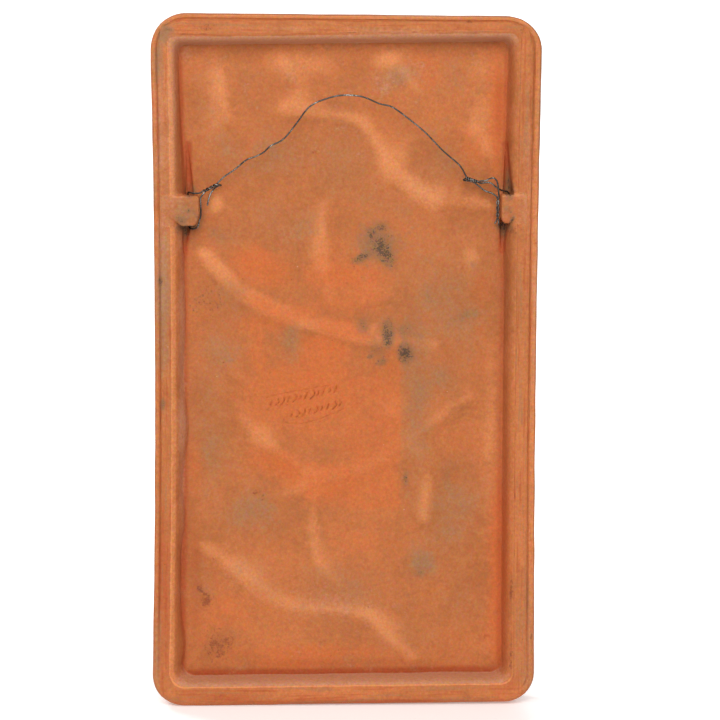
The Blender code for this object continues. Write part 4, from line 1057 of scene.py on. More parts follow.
def press_marks(body, sizes):
    """Moves the mesh's points by the ridges, strokes, pits, sprig and unevenness."""
    verts = list(body.verts)
    points = np.array([vert.co for vert in verts])
    x, y, z = points.T.copy()
    uneven = sizes.clay_unevenness
    in_recess = y > -RECESS_DEPTH - MM
    on_floor = smooth_step(-y, 0.25 * RECESS_DEPTH, RECESS_DEPTH) * in_recess
    on_land = smooth_step(y, -0.9 * STRIP_DROP, -0.2 * STRIP_DROP)
    on_side = smooth_step(-y, 0.2 * MM, STRIP_DROP) * (y > FRONT_Y + MM)
    on_field = smooth_step(-y, PLAQUE_THICKNESS - FIELD_DEPTH - 0.1 * MM, PLAQUE_THICKNESS - FIELD_DEPTH)
    past_field = np.maximum(np.abs(x) - HALF_WIDTH, np.abs(z) - HALF_HEIGHT) + BORDER_WIDTH + 2 * MM
    on_field *= (1 - smooth_step(past_field, 0.0, MM)) * ~in_recess
    lift = floor_relief(x, z, sizes) - pressed_strokes(x, z, sizes) - pit_depth(x, z)
    lift += uneven * (waves(x, z, 0.022, 11) + 0.5 * waves(x, z, 0.009, 12) + 0.25 * waves(x, z, 0.004, 13))
    lift += sizes.floor_swell * (waves(x, z, 0.042, 14) + 0.35 * waves(x, z, 0.018, 15))
    ripple = 0.6 * uneven * (waves(x + z, x - z + 0.5 * y, 0.030, 41) + 1.8)
    y += on_floor * lift
    y -= on_land * uneven * np.abs(waves(x, z, 0.016, 21) + 0.6 * waves(x, z, 0.006, 22))
    y -= on_field * SPRIG_RELIEF * sprig_height(x, z)
    y += on_field * uneven * 1.5 * (waves(x, z, 0.030, 31) + 0.4 * waves(x, z, 0.008, 32) + 1.2)
    x -= on_side * ripple * np.sign(x) * (np.abs(x) > 0.9 * HALF_WIDTH)
    z -= on_side * ripple * np.sign(z) * (np.abs(z) > 0.94 * HALF_HEIGHT)
    for vert, place in zip(verts, np.stack([x, y, z], 1)):
        vert.co = place


def refine(body, low, high, cuts):
    """Splits the back's faces in a box of X and Z, so that small marks have points to move."""
    inside = {vert for vert in body.verts
              if low[0] < vert.co.x < high[0] and low[1] < vert.co.z < high[1]
              and -RECESS_DEPTH - MM < vert.co.y}
    edges = [edge for edge in body.edges if edge.verts[0] in inside and edge.verts[1] in inside]
    bmesh.ops.subdivide_edges(body, edges=edges, cuts=cuts, use_grid_fill=True)


def lug_edge_x(lug):
    """Where the land ends beside a lug."""
    land_end = sides_sum(STRIP_WIDTH, LAND_WIDTH)
    inset = land_end.plus_x if lug.side > 0 else land_end.minus_x
    x = lug.side * (HALF_WIDTH - inset)
    waist = WAIST_PLUS_X if lug.side > 0 else WAIST_MINUS_X
    return x - waist * (1 - (lug.top / HALF_HEIGHT) ** 2) * x / HALF_WIDTH


def inset_x(lug, inset):
    """A place across the plaque, from its distance inwards from the rim's edge beside a lug."""
    return lug_edge_x(lug) - lug.side * inset


def lug_outline(lug):
    """The lug seen from behind: distance in from the rim's edge, and distance down from the lug's top."""
    steps = 6
    points = [(-LUG_ROOT, LUG_FILLET)]
    for step in range(steps + 1):
        angle = math.radians(180 + 90 * step / steps)
        points.append((LUG_FILLET + LUG_FILLET * math.cos(angle), LUG_FILLET + LUG_FILLET * math.sin(angle)))
    for step in range(steps + 1):
        angle = math.radians(90 - 90 * step / steps)
        points.append((lug.reach - LUG_CORNER + LUG_CORNER * math.cos(angle),
                       -LUG_CORNER + LUG_CORNER * math.sin(angle)))
    points += [
        (lug.reach, lug.chamfer_height - lug.height),
        (lug.reach - lug.chamfer_run, LUG_CORNER - lug.height),
        (lug.reach - lug.chamfer_run - LUG_CORNER, -lug.height),
        (lug.foot_inset - HOLE_DIAMETER / 2, -lug.height),
        (LUG_CORNER, LUG_FOOT_NOTCH - lug.height),
        (-LUG_ROOT, LUG_FOOT_NOTCH + LUG_CORNER - lug.height),
    ]
    return points


def object_from(name, vertices, faces):
    """A mesh object from points and faces, with its faces turned outwards."""
    shape = bmesh.new()
    points = [shape.verts.new(vertex) for vertex in vertices]
    for face in faces:
        shape.faces.new([points[index] for index in face])
    bmesh.ops.recalc_face_normals(shape, faces=shape.faces)
    return link_new(name, mesh_from(name, shape))


def prism(name, outline, near_y, far_y):
    """A closed solid between two copies of an outline in X and Z."""
    count = len(outline)
    vertices = [Vector((x, near_y, z)) for x, z in outline] + [Vector((x, far_y, z)) for x, z in outline]
    faces = [tuple(range(count)), tuple(range(2 * count - 1, count - 1, -1))]
    faces += [(i, (i + 1) % count, count + (i + 1) % count, count + i) for i in range(count)]
    return object_from(name, vertices, faces)


def bake_modifiers(target):
    """Replaces an object's mesh by the one that its modifiers give."""
    graph = bpy.context.evaluated_depsgraph_get()
    mesh = bpy.data.meshes.new_from_object(target.evaluated_get(graph))
    target.modifiers.clear()
    target.data = mesh


def lug_solid(lug, sizes):
    """A hand-worked stub of clay: the lug's outline with soft edges and an uneven skin."""
    outline = [(lug_edge_x(lug) - lug.side * inward, lug.top + up) for inward, up in lug_outline(lug)]
    stub = prism("lug", outline, -LUG_FACE_SETBACK, -RECESS_DEPTH - LUG_BEDDING)
    bevel = stub.modifiers.new("soft_edges", "BEVEL")
    bevel.width = LUG_EDGE_ROUND
    bevel.segments = 3
    bevel.angle_limit = math.radians(50)
    remesh = stub.modifiers.new("even_skin", "REMESH")
    remesh.mode = "VOXEL"
    remesh.voxel_size = LUG_VOXEL
    soften = stub.modifiers.new("soften", "SMOOTH")
    soften.iterations = 4
    bake_modifiers(stub)
    points = point_places(stub.data)
    x, y, z = points.T.astype(float)
    rough = sizes.clay_unevenness * (waves(x + y, z, 0.007, 51) + 0.6 * waves(x - y, z, 0.003, 52))
    points[:, 1] -= np.abs(rough) + pit_depth(x, z)
    points[:, 2] += 0.6 * rough
    stub.data.vertices.foreach_set("co", points.ravel())
    stub.data.update()
    return stub


def rod(name, start, end, width):
    """A round rod between two points, for cutting a hole."""
    shape = bmesh.new()
    bmesh.ops.create_cone(shape, cap_ends=True, segments=ROUND_STEPS, radius1=width / 2, radius2=width / 2,
                          depth=(end - start).length)
    turn = (end - start).to_track_quat("Z", "Y").to_matrix().to_4x4()
    bmesh.ops.transform(shape, matrix=Matrix.Translation((start + end) / 2) @ turn, verts=shape.verts)
    return link_new(name, mesh_from(name, shape))


def open_groove(name, start, end):
    """A cutter with a round bottom that is open to the back, and tapers. Start and end are X and Z."""
    half_steps = ROUND_STEPS // 2
    sections = ((start, GROOVE_WIDTH / 2, -GROOVE_DEPTH), (end, GROOVE_TIP_WIDTH / 2, -GROOVE_TIP_DEPTH))
    vertices = []
    for (x, z), radius, axis_y in sections:
        vertices.append(Vector((x + radius, GROOVE_OVERRUN, z)))
        for step in range(half_steps + 1):
            angle = math.pi * step / half_steps
            vertices.append(Vector((x + radius * math.cos(angle), axis_y - radius * math.sin(angle), z)))
        vertices.append(Vector((x - radius, GROOVE_OVERRUN, z)))
    count = len(vertices) // 2
    faces = [tuple(range(count)), tuple(range(2 * count - 1, count - 1, -1))]
    faces += [(i, (i + 1) % count, count + (i + 1) % count, count + i) for i in range(count)]
    return object_from(name, vertices, faces)


def lug_cutters(lug):
    """The slanting hole through a lug and the grooves above and below it."""
    top = Vector((inset_x(lug, lug.hole_inset), -HOLE_DEPTH, lug.top))
    foot = Vector((inset_x(lug, lug.foot_inset), -HOLE_DEPTH, lug.top - lug.height))
    overrun = (top - foot).normalized() * HOLE_DIAMETER / 2
    return [
        rod("hole", foot - overrun, top + overrun, HOLE_DIAMETER),
        open_groove("upper_groove", (top.x, top.z),
                    (inset_x(lug, lug.upper_tip_inset), top.z + UPPER_GROOVE_LENGTH)),
        open_groove("lower_groove", (foot.x, foot.z),
                    (inset_x(lug, lug.lower_tip_inset), foot.z - LOWER_GROOVE_LENGTH)),
    ]


def combine(target, operation, operands):
    """Joins all the operands to a piece or cuts them out of it, and removes them."""
    for operand in operands:
        modifier = target.modifiers.new(operation.lower(), "BOOLEAN")
        modifier.operation = operation
        modifier.object = operand
        modifier.solver = "MANIFOLD"
    bake_modifiers(target)
    for operand in operands:
        bpy.data.objects.remove(operand, do_unlink=True)


def soften_near_lugs(target):
    """Rubs the joints and mouths round each lug smooth, as a wet finger does."""
    shape = bmesh.new()
    shape.from_mesh(target.data)
    bmesh.ops.triangulate(shape, faces=[face for face in shape.faces if len(face.verts) > 4])
    margin = 2 * GROOVE_WIDTH
    for lug in LUGS:
        middle_x = inset_x(lug, lug.reach / 2)
        near = [vert for vert in shape.verts
                if abs(vert.co.x - middle_x) < lug.reach / 2 + margin
                and lug.top - lug.height - 2 * margin < vert.co.z < lug.top + 3 * margin
                and vert.co.y > -RECESS_DEPTH - 5 * MM]
        for _ in range(2):
            bmesh.ops.smooth_vert(shape, verts=near, factor=0.4, use_axis_x=True, use_axis_y=True,
                                  use_axis_z=True)
    shape.to_mesh(target.data)
    shape.free()


# Where the clay is stained or worn, and where painted light and shade stand in its colour, as soft spots: X
# and Z in millimetres from the middle, half width, half height, turn in degrees and strength
DUST_SPOTS = (
    (-49, 30, 26, 34, 0, 0.55), (-36, -5, 9, 62, 0, 0.62), (-47, 98, 16, 16, 0, 0.4),
    (-25, 141, 11, 6, -20, 0.75), (-52, 140, 13, 12, 0, 0.4), (71, 125, 8, 20, 0, 0.35),
    (2, 98, 16, 18, 0, 0.4), (62, 4, 12, 20, 0, 0.55), (66, -40, 12, 26, 0, 0.5), (46, -74, 14, 12, 0, 0.7),
    (42, -108, 17, 9, 35, 0.5), (-57, -70, 14, 26, 0, 0.55), (2, -112, 24, 12, 0, 0.45),
    (38, 100, 20, 14, 0, 0.55), (36, 72, 16, 12, 0, 0.4), (71, -113, 8, 14, 0, 0.4),
    (56, 63, 12, 8, 0, 0.35), (26, 8, 7, 11, 0, 0.7), (-39, -101, 8, 7, 0, 0.9), (-62, 24, 12, 5, -8, 0.6),
    (-22, 10, 13, 12, 0, 0.7), (-18, 58, 12, 12, 0, 0.55), (87.5, 161, 4, 5.5, 20, 1.1),
    (91, 146, 2, 10, 0, 0.9), (88.7, 34, 4, 34, 0, 0.95), (77, 74, 9, 8, 0, 0.8), (-78, 76, 4, 8, 0, 0.25),
    (-88, -150, 6, 12, 0, 0.4), (-60, -160, 30, 4, 0, 0.3), (-48, -8, 14, 7, 40, 0.6),
    (55, 104, 18, 12, 20, 0.45), (-20, 78, 22, 10, 20, 0.4), (68, -12, 9, 26, 0, 0.45),
    (26.5, 9, 5.5, 12, 0, 0.8), (-52, -78, 14, 18, 0, 0.62), (22, 66, 14, 14, 0, 0.45),
    (-30, -140, 30, 10, 0, 0.3), (92, -142, 2, 32, 0, 0.6), (-92, -142, 1.8, 32, 0, 0.6),
    (56, 32, 14, 12, 0, 0.45), (-58, -118, 12, 22, 0, 0.35),
)
# Beige dust; the long thin strip along the top edge is a painted highlight
PALE_DUST_AND_LIGHT_SPOTS = (
    (90, 110, 4, 45, 0, 0.55), (89, 50, 4, 60, 0, 0.5), (79.6, -12, 1.6, 70, 0, 0.7),
    (-40, 170, 34, 1.6, 0, 0.9), (-93, 30, 1.8, 60, 0, 0.6), (30, 163, 30, 2, 0, 0.4),
    (78, 150, 4, 8, 0, 0.4), (84.6, 122, 2.4, 42, 0, 0.75), (-89, 100, 4, 60, 0, 0.38),
    (-30, 161.5, 40, 2.6, 0, 0.5), (-28, 140, 16, 5, -25, 0.3), (-36, 86, 16, 8, 40, 0.38),
    (52, -110, 14, 8, 35, 0.35), (2, -122, 26, 7, 0, 0.3), (64, 128, 6, 20, 0, 0.3),
)
# Red clay; the spots along the walls' feet add to the painted shade there
RED_AND_SHADE_SPOTS = (
    (91, -132, 3, 38, 0, 0.6), (-91.5, -138, 2.4, 36, 0, 0.6), (0, -168.2, 84, 2.2, 0, 0.7),
    (-84, -158, 5, 8, 40, 0.5), (89, -110, 5.5, 62, 0, 0.62), (60, -166, 40, 5.5, 0, 0.55),
    (-30, -166, 60, 3.5, 0, 0.35), (73, -110, 4.5, 40, 0, 0.55), (5, -151, 66, 3, 0, 0.5),
    (-78.5, -80, 3.6, 72, 0, 0.6), (-75, 122, 3.5, 30, 0, 0.55), (71, 165, 18, 4, 0, 0.3),
    (-76, 56, 3.5, 14, 0, 0.5),
)
WARM_SPOTS = (
    (61, 44, 15, 6, 45, 0.3), (42, 8, 5, 16, 0, 0.6), (37, 27, 18, 6, 27, 0.85), (0, 16, 24, 6, 13, 0.9),
    (7, -60, 26, 12, 0, 0.9), (44, 105, 8, 8, 0, 0.5), (-42, 140, 9, 8, 0, 0.5), (-67, 36, 8, 14, 0, 0.5),
    (24, -150, 40, 5, 0, 0.5), (-2, 31, 24, 9, -10, 0.7), (17, -14, 34, 28, 0, 0.85),
    (9, 44, 10, 26, 0, 0.6), (41, 46, 16, 11, 20, 1), (0, 42, 24, 9, 0, 0.85), (29, 22, 30, 7, -12, 0.7),
    (41, -1, 10, 14, 0, 0.6), (12, 5, 18, 10, 0, 0.95), (30, -52, 18, 9, 25, 0.9),
    (-10, -88, 22, 10, 0, 0.35), (-74, 120, 5, 34, 0, 0.8), (-77, -104, 5, 60, 0, 0.9),
    (60, -128, 16, 14, 0, 0.5), (12, -146, 50, 5, 0, 0.6), (73.5, -51, 4, 16, 0, 0.6),
    (-67, 31, 8, 20, 0, 0.4), (-60, -42, 12, 12, 0, 0.35), (-40, 147, 16, 6, 0, 0.5),
    (-62, 104, 10, 12, 0, 0.55),
)
# Light clay on crests, partly painted light; the two thin spots on the lugs' top edges are painted highlights
PALE_AND_HIGHLIGHT_SPOTS = (
    (61, 46, 14, 4, 45, 0.8), (37, 28.5, 17, 4, 27, 0.85), (0, 16, 23, 4, 13, 0.8),
    (-27, 100, 8, 14, 35, 0.55), (-67, 120, 9, 16, 0, 0.6), (22, 145, 22, 8, 0, 0.55),
    (-42, -59, 4.5, 16, 8, 0.15), (14, -88, 5, 18, -8, 0.22), (-2, 31, 22, 7, -10, 0.5),
    (14, -60, 14, 7, 0, 0.7), (-72, -20, 4, 40, 0, 0.45), (45, -100, 16, 5, 32, 0.3),
    (64, 128, 7, 22, 0, 0.45), (24, 128, 12, 7, -20, 0.4), (-20, 148, 12, 6, -20, 0.6),
    (-70, 110, 6, 10, 0, 0.55), (66, 78, 8, 7, 0, 0.55), (-36, 86, 14, 7, 35, 0.55),
    (-66, 145, 8, 8, 0, 0.45), (-28, -22, 10, 6, 20, 0.3), (46, -104, 12, 7, 35, 0.4),
    (-14, 17, 4, 4, 0, 0.6), (40, -36, 7, 9, 40, 0.6), (-62, 52, 8, 6, 0, 0.4),
    (-79.5, 83.3, 5.5, 0.8, 0, 1.6), (81, 82.6, 5, 0.9, 0, 1.1), (12, 56, 5, 14, 0, 0.6),
    (-22, -130, 14, 7, 30, 0.35), (-78, 4, 4, 10, 0, 0.3), (-60, 78, 14, 4, 0, 0.45),
)
# Dark smudges; the spots just above and below the lugs are painted shade in the mouths of their holes and
# grooves
SOOT_AND_SHADE_SPOTS = (
    (-18.3, 55.4, 9.4, 4.2, 56.6, 1.2), (-9.4, 52, 6, 2.2, -24, 0.95), (-17.9, 66.4, 4, 3, 0, 0.85),
    (-13.4, 63.4, 3.2, 3.4, 0, 0.9), (-16.5, 59, 10, 10, 0, 0.62), (-21.2, 14, 3.2, 7, 0, 1.2),
    (-9, 18.1, 4.2, 5, 0, 0.6), (-17, 7, 6, 9, 0, 0.55), (-12.7, 2.8, 1.3, 1.6, 0, 1.1),
    (-18.3, 0.2, 4, 1.4, -10, 0.85), (-29.9, 4.6, 3.8, 5, -12, 1.35), (-30, 16, 7, 6, 0, 0.48),
    (-38, -106, 4, 2.6, 0, 0.6), (90, 41, 1.4, 2.8, 0, 0.9), (89, -19, 1.4, 2.6, 0, 0.95),
    (-30.5, -58, 2, 6, 0, 0.6), (-25, 137, 4.5, 3, 0, 0.45), (77, 66.8, 4.6, 1.5, 0, 1.5),
    (-77.6, 67.4, 2.8, 1.6, 0, 1.3), (76.5, 75.4, 1, 1.2, 0, 0.9), (75.8, 84.5, 2.6, 2.6, 0, 1.1),
    (-79.4, 85.5, 2.2, 4, 0, 1.2), (86, 163, 2.6, 1, 30, 0.8), (-58, 22.5, 6, 1.6, -8, 0.5),
    (-45, 40, 3, 12, 10, 0.25), (-62, 48, 4, 3, 0, 0.4), (80, 71, 3, 2, 30, 0.9),
    (-80.8, 71, 1.2, 2.6, 20, 0.85), (73, 74, 4, 1.2, 60, 0.55), (-79, 76, 3.4, 2, 40, 0.5),
)
# Crusty patches; the two spots under the lugs and the thin one along the bottom edge are painted shade
SCALE_AND_SHADE_SPOTS = (
    (68, -119, 3.4, 5, 0, 1.15), (71, -113, 2.6, 4, 0, 0.9), (62, -142, 11, 9, 0, 0.88),
    (68, 29, 11, 14, 15, 0.62), (43, -65, 2.6, 2.2, 20, 1.15), (40, -68, 1.7, 1.7, 0, 1),
    (-82.6, -112, 1.1, 10, 0, 1.05), (-83, -146, 0.9, 14, 0, 0.95), (67, 164.4, 9, 3.4, 0, 0.75),
    (-59, 167, 2.4, 1, 0, 1.1), (-85, 163, 3, 2, -40, 0.85), (-92.8, -137, 0.8, 12, 0, 0.75),
    (60, -166, 34, 4, 0, 0.42), (0, -170.4, 86, 1, 0, 0.95), (78, 66, 6, 5, 0, 0.8),
    (-80, 66, 5, 5, 0, 0.8),
)
# A patch of the floor that stayed cleaner: its two sharp edges, and where it has faded out past them
CLEAN_EDGE_X = -0.0280
CLEAN_EDGE_Z = -0.0735
CLEAN_FADE_X = (0.020, 0.050)
CLEAN_FADE_Z = (0.060, 0.125)
# Strengths of the section's marks on each side: the bead's painted highlight and the fine line beside it, the
# land's end as painted shade or a lip's painted highlight, the shoulder's painted highlight, dust and painted
# light on the wall, and red clay with painted shade at its foot
BEAD_HIGHLIGHT = Sides(0.50, 0.60, 1.15, 0.00)
BEAD_LINE = Sides(0.55, 0.50, 0.60, 0.00)
LIP_SHADE_LINE = Sides(0.25, 0.55, 0.50, 0.00)
LIP_HIGHLIGHT = Sides(0.20, 0.25, 0.00, 1.20)
SHOULDER_HIGHLIGHT = Sides(0.66, 0.20, 0.00, 0.10)
WALL_DUST_AND_LIGHT = Sides(0.20, 0.25, 1.30, 1.15)
CREASE_RED_AND_SHADE = Sides(0.85, 0.60, 0.15, 1.00)
CORNER_BLEND = 0.003
# Wear with painted light and shade on the front, as a share of a full ridge's: what the sprig adds, and what
# the border and field lack
SPRIG_WEAR_AND_LIGHT = 0.42
FRONT_DULLNESS = 0.10
# Heights that divide others are never less than this
SMALLEST_HEIGHT = 0.0001


def spots_field(x, z, spots):
    """How strongly each point lies in any of the soft spots."""
    field = np.zeros_like(x)
    for spot_x, spot_z, half_width, half_height, turn, strength in spots:
        across = x / MM - spot_x
        up = z / MM - spot_z
        cosine, sine = math.cos(math.radians(turn)), math.sin(math.radians(turn))
        away = np.hypot((across * cosine + up * sine) / half_width,
                        (up * cosine - across * sine) / half_height)
        field = np.maximum(field, strength * np.exp(-away ** 2 * 0.9))
    return field


def clean_patch(x, z):
    """How clean the floor stayed: sharp at the patch's -X and lower edges, and fading to +X and upwards."""
    edge_x = x - CLEAN_EDGE_X - 0.4 * MM * waves(x, z, 0.008, 61)
    edge_z = z - CLEAN_EDGE_Z - 0.4 * MM * waves(x, z, 0.008, 62)
    clean = smooth_step(edge_x, -0.6 * MM, 0.6 * MM) * smooth_step(edge_z, -1.0 * MM, 1.0 * MM)
    return clean * (1 - smooth_step(edge_x, *CLEAN_FADE_X)) * (1 - smooth_step(edge_z, *CLEAN_FADE_Z))


def inside_floor(x, z):
    """How far each point lies inside the floor's edge, measured from each of the four sides."""
    share = z / HALF_HEIGHT
    waist = np.where(x > 0, WAIST_PLUS_X, WAIST_MINUS_X)
    straight_x = x + waist * (1 - share ** 2) * x / HALF_WIDTH
    tilt = RECESS_TOP_SLOPE * (1 + share) / 2 + BOTTOM_SLOPE * (1 - share) / 2
    level_z = z - tilt * x
    foot = sides_sum(sides_sum(STRIP_WIDTH, LAND_WIDTH), WALL_RUN)
    return np.stack([HALF_WIDTH - foot.plus_x - straight_x, HALF_WIDTH - foot.minus_x + straight_x,
                     HALF_HEIGHT - foot.top - level_z, HALF_HEIGHT - foot.bottom + level_z])


def near_lug(lug, x, z):
    """Which points lie round a lug and the grooves above and below it."""
    inward = lug.side * (lug_edge_x(lug) - x)
    return ((inward > -LUG_ROOT - MM) & (inward < lug.reach + GROOVE_WIDTH)
            & (z > lug.top - lug.height - LOWER_GROOVE_LENGTH - 2 * MM)
            & (z < lug.top + UPPER_GROOVE_LENGTH + 2 * MM))


def paint_fields(target, sizes):
    """Stores on the mesh's points where the clay is ridged, creased, worn, dusty, sooty, red or crusted, and
    its painted light and shade.
    """
    mesh = target.data
    x, y, z = point_places(mesh).T.astype(float)
    section = np.zeros(len(x), np.float32)
    mesh.attributes["section"].data.foreach_get("value", section)
    back = smooth_step(y, -RECESS_DEPTH - 2.5 * MM, -RECESS_DEPTH - 1.5 * MM)
    for lug in LUGS:
        unmarked = near_lug(lug, x, z) & (section < 0.9) & (y > -RECESS_DEPTH - 5 * MM)
        section[unmarked & (y <= -1.5 * MM)] = 4.0
        inward = lug.side * (lug_edge_x(lug) - x)
        flush = ((inward > -LUG_ROOT - MM) & (inward < lug.reach + MM) & (y > -1.5 * MM)
                 & (z > lug.top - lug.height) & (z < lug.top + 0.5 * MM))
        section[flush | (unmarked & (y > -1.5 * MM))] = 3.7
    sides = inside_floor(x, z)
    inner = sides.min(axis=0)
    weights = np.exp(-(sides - inner) / CORNER_BLEND)
    weights /= weights.sum(axis=0)
    on_floor = smooth_step(-y, 0.72 * RECESS_DEPTH, 0.86 * RECESS_DEPTH)
    breadth = between(2.9 * MM, 1.6 * MM, smooth_step(z, 0.06, 0.15))
    low_down = smooth_step(-y, 0.45 * RECESS_DEPTH, 0.8 * RECESS_DEPTH)
    # Red clay and painted shade along the walls' feet
    foot = np.exp(-((inner - 0.6 * MM) / breadth) ** 2) * low_down
    crease = foot * (weights * np.array(CREASE_RED_AND_SHADE)[:, None]).sum(axis=0)
    # Painted shade in the grooves above and below each lug's hole
    for lug in LUGS:
        top = (inset_x(lug, lug.hole_inset), lug.top)
        upper_tip = (inset_x(lug, lug.upper_tip_inset), lug.top + UPPER_GROOVE_LENGTH)
        foot_mouth = (inset_x(lug, lug.foot_inset), lug.top - lug.height)
        lower_tip = (inset_x(lug, lug.lower_tip_inset), foot_mouth[1] - LOWER_GROOVE_LENGTH)
        for start, end in ((top, upper_tip), (foot_mouth, lower_tip)):
            away = distance_to_path(x, z, [start, end]) / (0.55 * GROOVE_WIDTH)
            crease = np.maximum(crease, 1.2 * np.exp(-away ** 2) * smooth_step(-y, 4 * MM, 9 * MM))
    store(mesh, "section", section)
    store(mesh, "rim_end", weights[2:].sum(axis=0))
    # Light crests and darker clay beside them, on the floor and round the sprig: rubbed clay, and painted
    # light and shade
    rubbed = floor_relief(x, z, sizes, LIGHT_CREST_BREADTH) - 0.55 * floor_relief(x, z, sizes, HOLLOW_BREADTH)
    ridge = rubbed / max(sizes.ridge_height, SMALLEST_HEIGHT) * on_floor * back
    front = smooth_step(-y, 0.6 * PLAQUE_THICKNESS, 0.8 * PLAQUE_THICKNESS)
    store(mesh, "ridge", ridge + (SPRIG_WEAR_AND_LIGHT * sprig_height(x, z) - FRONT_DULLNESS) * front)
    stained = {name: spots_field(x, z, spots) for name, spots in (
        ("dust", DUST_SPOTS), ("warm", WARM_SPOTS), ("pale", PALE_AND_HIGHLIGHT_SPOTS), ("soot", SOOT_AND_SHADE_SPOTS),
        ("scale", SCALE_AND_SHADE_SPOTS), ("pale_dust", PALE_DUST_AND_LIGHT_SPOTS))}
    clean = clean_patch(x, z)
    stained["dust"] = stained["dust"] * (1 - 0.9 * clean)
    stained["warm"] = np.maximum(stained["warm"], 0.55 * clean)
    store(mesh, "crease", np.maximum(crease, spots_field(x, z, RED_AND_SHADE_SPOTS)) * back)
    pressed = pressed_strokes(x, z, sizes) / max(sizes.stroke_depth, SMALLEST_HEIGHT)
    store(mesh, "pressed", pressed * on_floor * back)
    # Painted highlights on the bead, lips and shoulders, painted shade at the land's end, and dust with
    # painted light on the walls
    for name, strengths in (("bead_light", BEAD_HIGHLIGHT), ("bead_line", BEAD_LINE), ("lip_line", LIP_SHADE_LINE),
                            ("lip_light", LIP_HIGHLIGHT), ("shoulder_light", SHOULDER_HIGHLIGHT),
                            ("wall_dust", WALL_DUST_AND_LIGHT)):
        store(mesh, name, (weights * np.array(strengths)[:, None]).sum(axis=0))
    for name, field in stained.items():
        store(mesh, name, field * back)


class PLAQUE_OT_press_clay(bpy.types.Operator):
    """Models the clay plaque with its marks, lugs, holes and sprig, and gives it its finish"""
    bl_idname = "plaque.press_clay"
    bl_label = "Press the clay plaque"

    def execute(self, context):
        sizes = context.scene.plaque_sizes
        mesh, body = plaque_body(sizes)
        refine(body, *(millimetres(corner) for corner in STROKE_AREA), STROKE_CUTS)
        for lug in LUGS:
            middle_x = inset_x(lug, lug.reach / 2)
            refine(body, (middle_x - CUTS_BESIDE_LUG, lug.top - CUTS_BELOW_LUG),
                   (middle_x + CUTS_BESIDE_LUG, lug.top + CUTS_ABOVE_LUG), LUG_CUTS)
        for pit_x, pit_z, radius, _ in PITS:
            reach = PIT_SPREAD * radius + PIT_MARGIN
            low, high = (millimetres((pit_x + side * reach, pit_z + side * reach)) for side in (-1, 1))
            refine(body, low, high, PIT_CUTS)
        press_marks(body, sizes)
        body.to_mesh(mesh)
        body.free()
        plaque = link_new("clay_plaque", mesh)
        combine(plaque, "UNION", [lug_solid(lug, sizes) for lug in LUGS])
        combine(plaque, "DIFFERENCE", [cutter for lug in LUGS for cutter in lug_cutters(lug)])
        soften_near_lugs(plaque)
        paint_fields(plaque, sizes)
        plaque.data.transform(Matrix.Translation((0.0, 0.0, PLAQUE_CENTRE_Z)))
        plaque.data.shade_smooth()
        plaque.data.set_sharp_from_angle(angle=math.radians(60))
        plaque.data.materials.clear()
        plaque.data.materials.append(clay_material(context.scene.plaque_colours))
        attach(plaque, "root")
        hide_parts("plaque")
        return {"FINISHED"}


# The wire's route, as in the solid

def twist(start, end, phase_turns, turns=TWIST_TURNS):
    """One strand of a twisted pair, from start to end of their common axis."""
    axis = (end - start).normalized()
    beside = axis.cross(Vector((0.0, 1.0, 0.0))).normalized()
    outward = axis.cross(beside)
    steps = round(turns * TWIST_STEPS_PER_TURN)
    points = []
    for step in range(steps + 1):
        angle = 2 * math.pi * (turns * step / steps + phase_turns)
        offset = beside * math.cos(angle) + outward * math.sin(angle)
        points.append(start.lerp(end, step / steps) + offset * TWIST_RADIUS)
    return points


def beside_lug(lug, inward, y, up):
    """A point of the wire, from the axis of a lug's hole and the height of the lug's top."""
    return Vector((inset_x(lug, lug.hole_inset) - lug.side * inward, y, lug.top + up))


def route_beside(lug, places, base=0.0):
    """A stretch of the wire's route, with its heights measured from a base above or below the lug's top."""
    return [beside_lug(lug, inward, y, base + up) for inward, y, up in places]


def passage_through(lug):
    """The wire inside a lug's hole, from the top mouth down."""
    depths = (LUG_CORNER, lug.height / 2, lug.height - LUG_CORNER)
    return [beside_lug(lug, between(lug.wire_shift, lug.wire_foot_shift, depth / lug.height), -HOLE_DEPTH,
                       -depth) for depth in depths]


def plus_x_end(wire_diameter):
    """The wire at the +X lug: the free tail, the knot, round the lug, and out again to the arch."""
    lug = LUGS[0]
    outer = beside_lug(lug, *PLUS_X_KNOT_OUTER)
    inner = beside_lug(lug, *PLUS_X_KNOT_INNER)
    inward = lug.reach - lug.hole_inset + WIRE_CLEARANCE + wire_diameter / 2
    chamfer_top = lug.chamfer_height - lug.height
    down_the_side = [
        beside_lug(lug, inward, SIDE_STRAND_Y, -LUG_CORNER),
        beside_lug(lug, inward, SIDE_STRAND_Y, chamfer_top / 2),
        beside_lug(lug, inward, SIDE_STRAND_Y, chamfer_top),
        beside_lug(lug, inward - lug.chamfer_run / 2, SIDE_STRAND_Y, chamfer_top - lug.chamfer_height / 2),
        beside_lug(lug, inward - lug.chamfer_run, between(SIDE_STRAND_Y, -HOLE_DEPTH, 0.2),
                   -lug.height - WIRE_CLEARANCE),
        beside_lug(lug, inward - lug.chamfer_run - LUG_CORNER, between(SIDE_STRAND_Y, -HOLE_DEPTH, 0.4),
                   -lug.height - 3 * WIRE_CLEARANCE),
    ]
    under = route_beside(lug, PLUS_X_UNDER_BELOW, -lug.height)
    returning = twist(outer, inner, 0.5)
    leaving = twist(outer, inner, 0.0)[::-1]
    return (route_beside(lug, PLUS_X_TAIL) + returning + down_the_side + under + passage_through(lug)[::-1]
            + route_beside(lug, PLUS_X_LEAVING) + leaving)


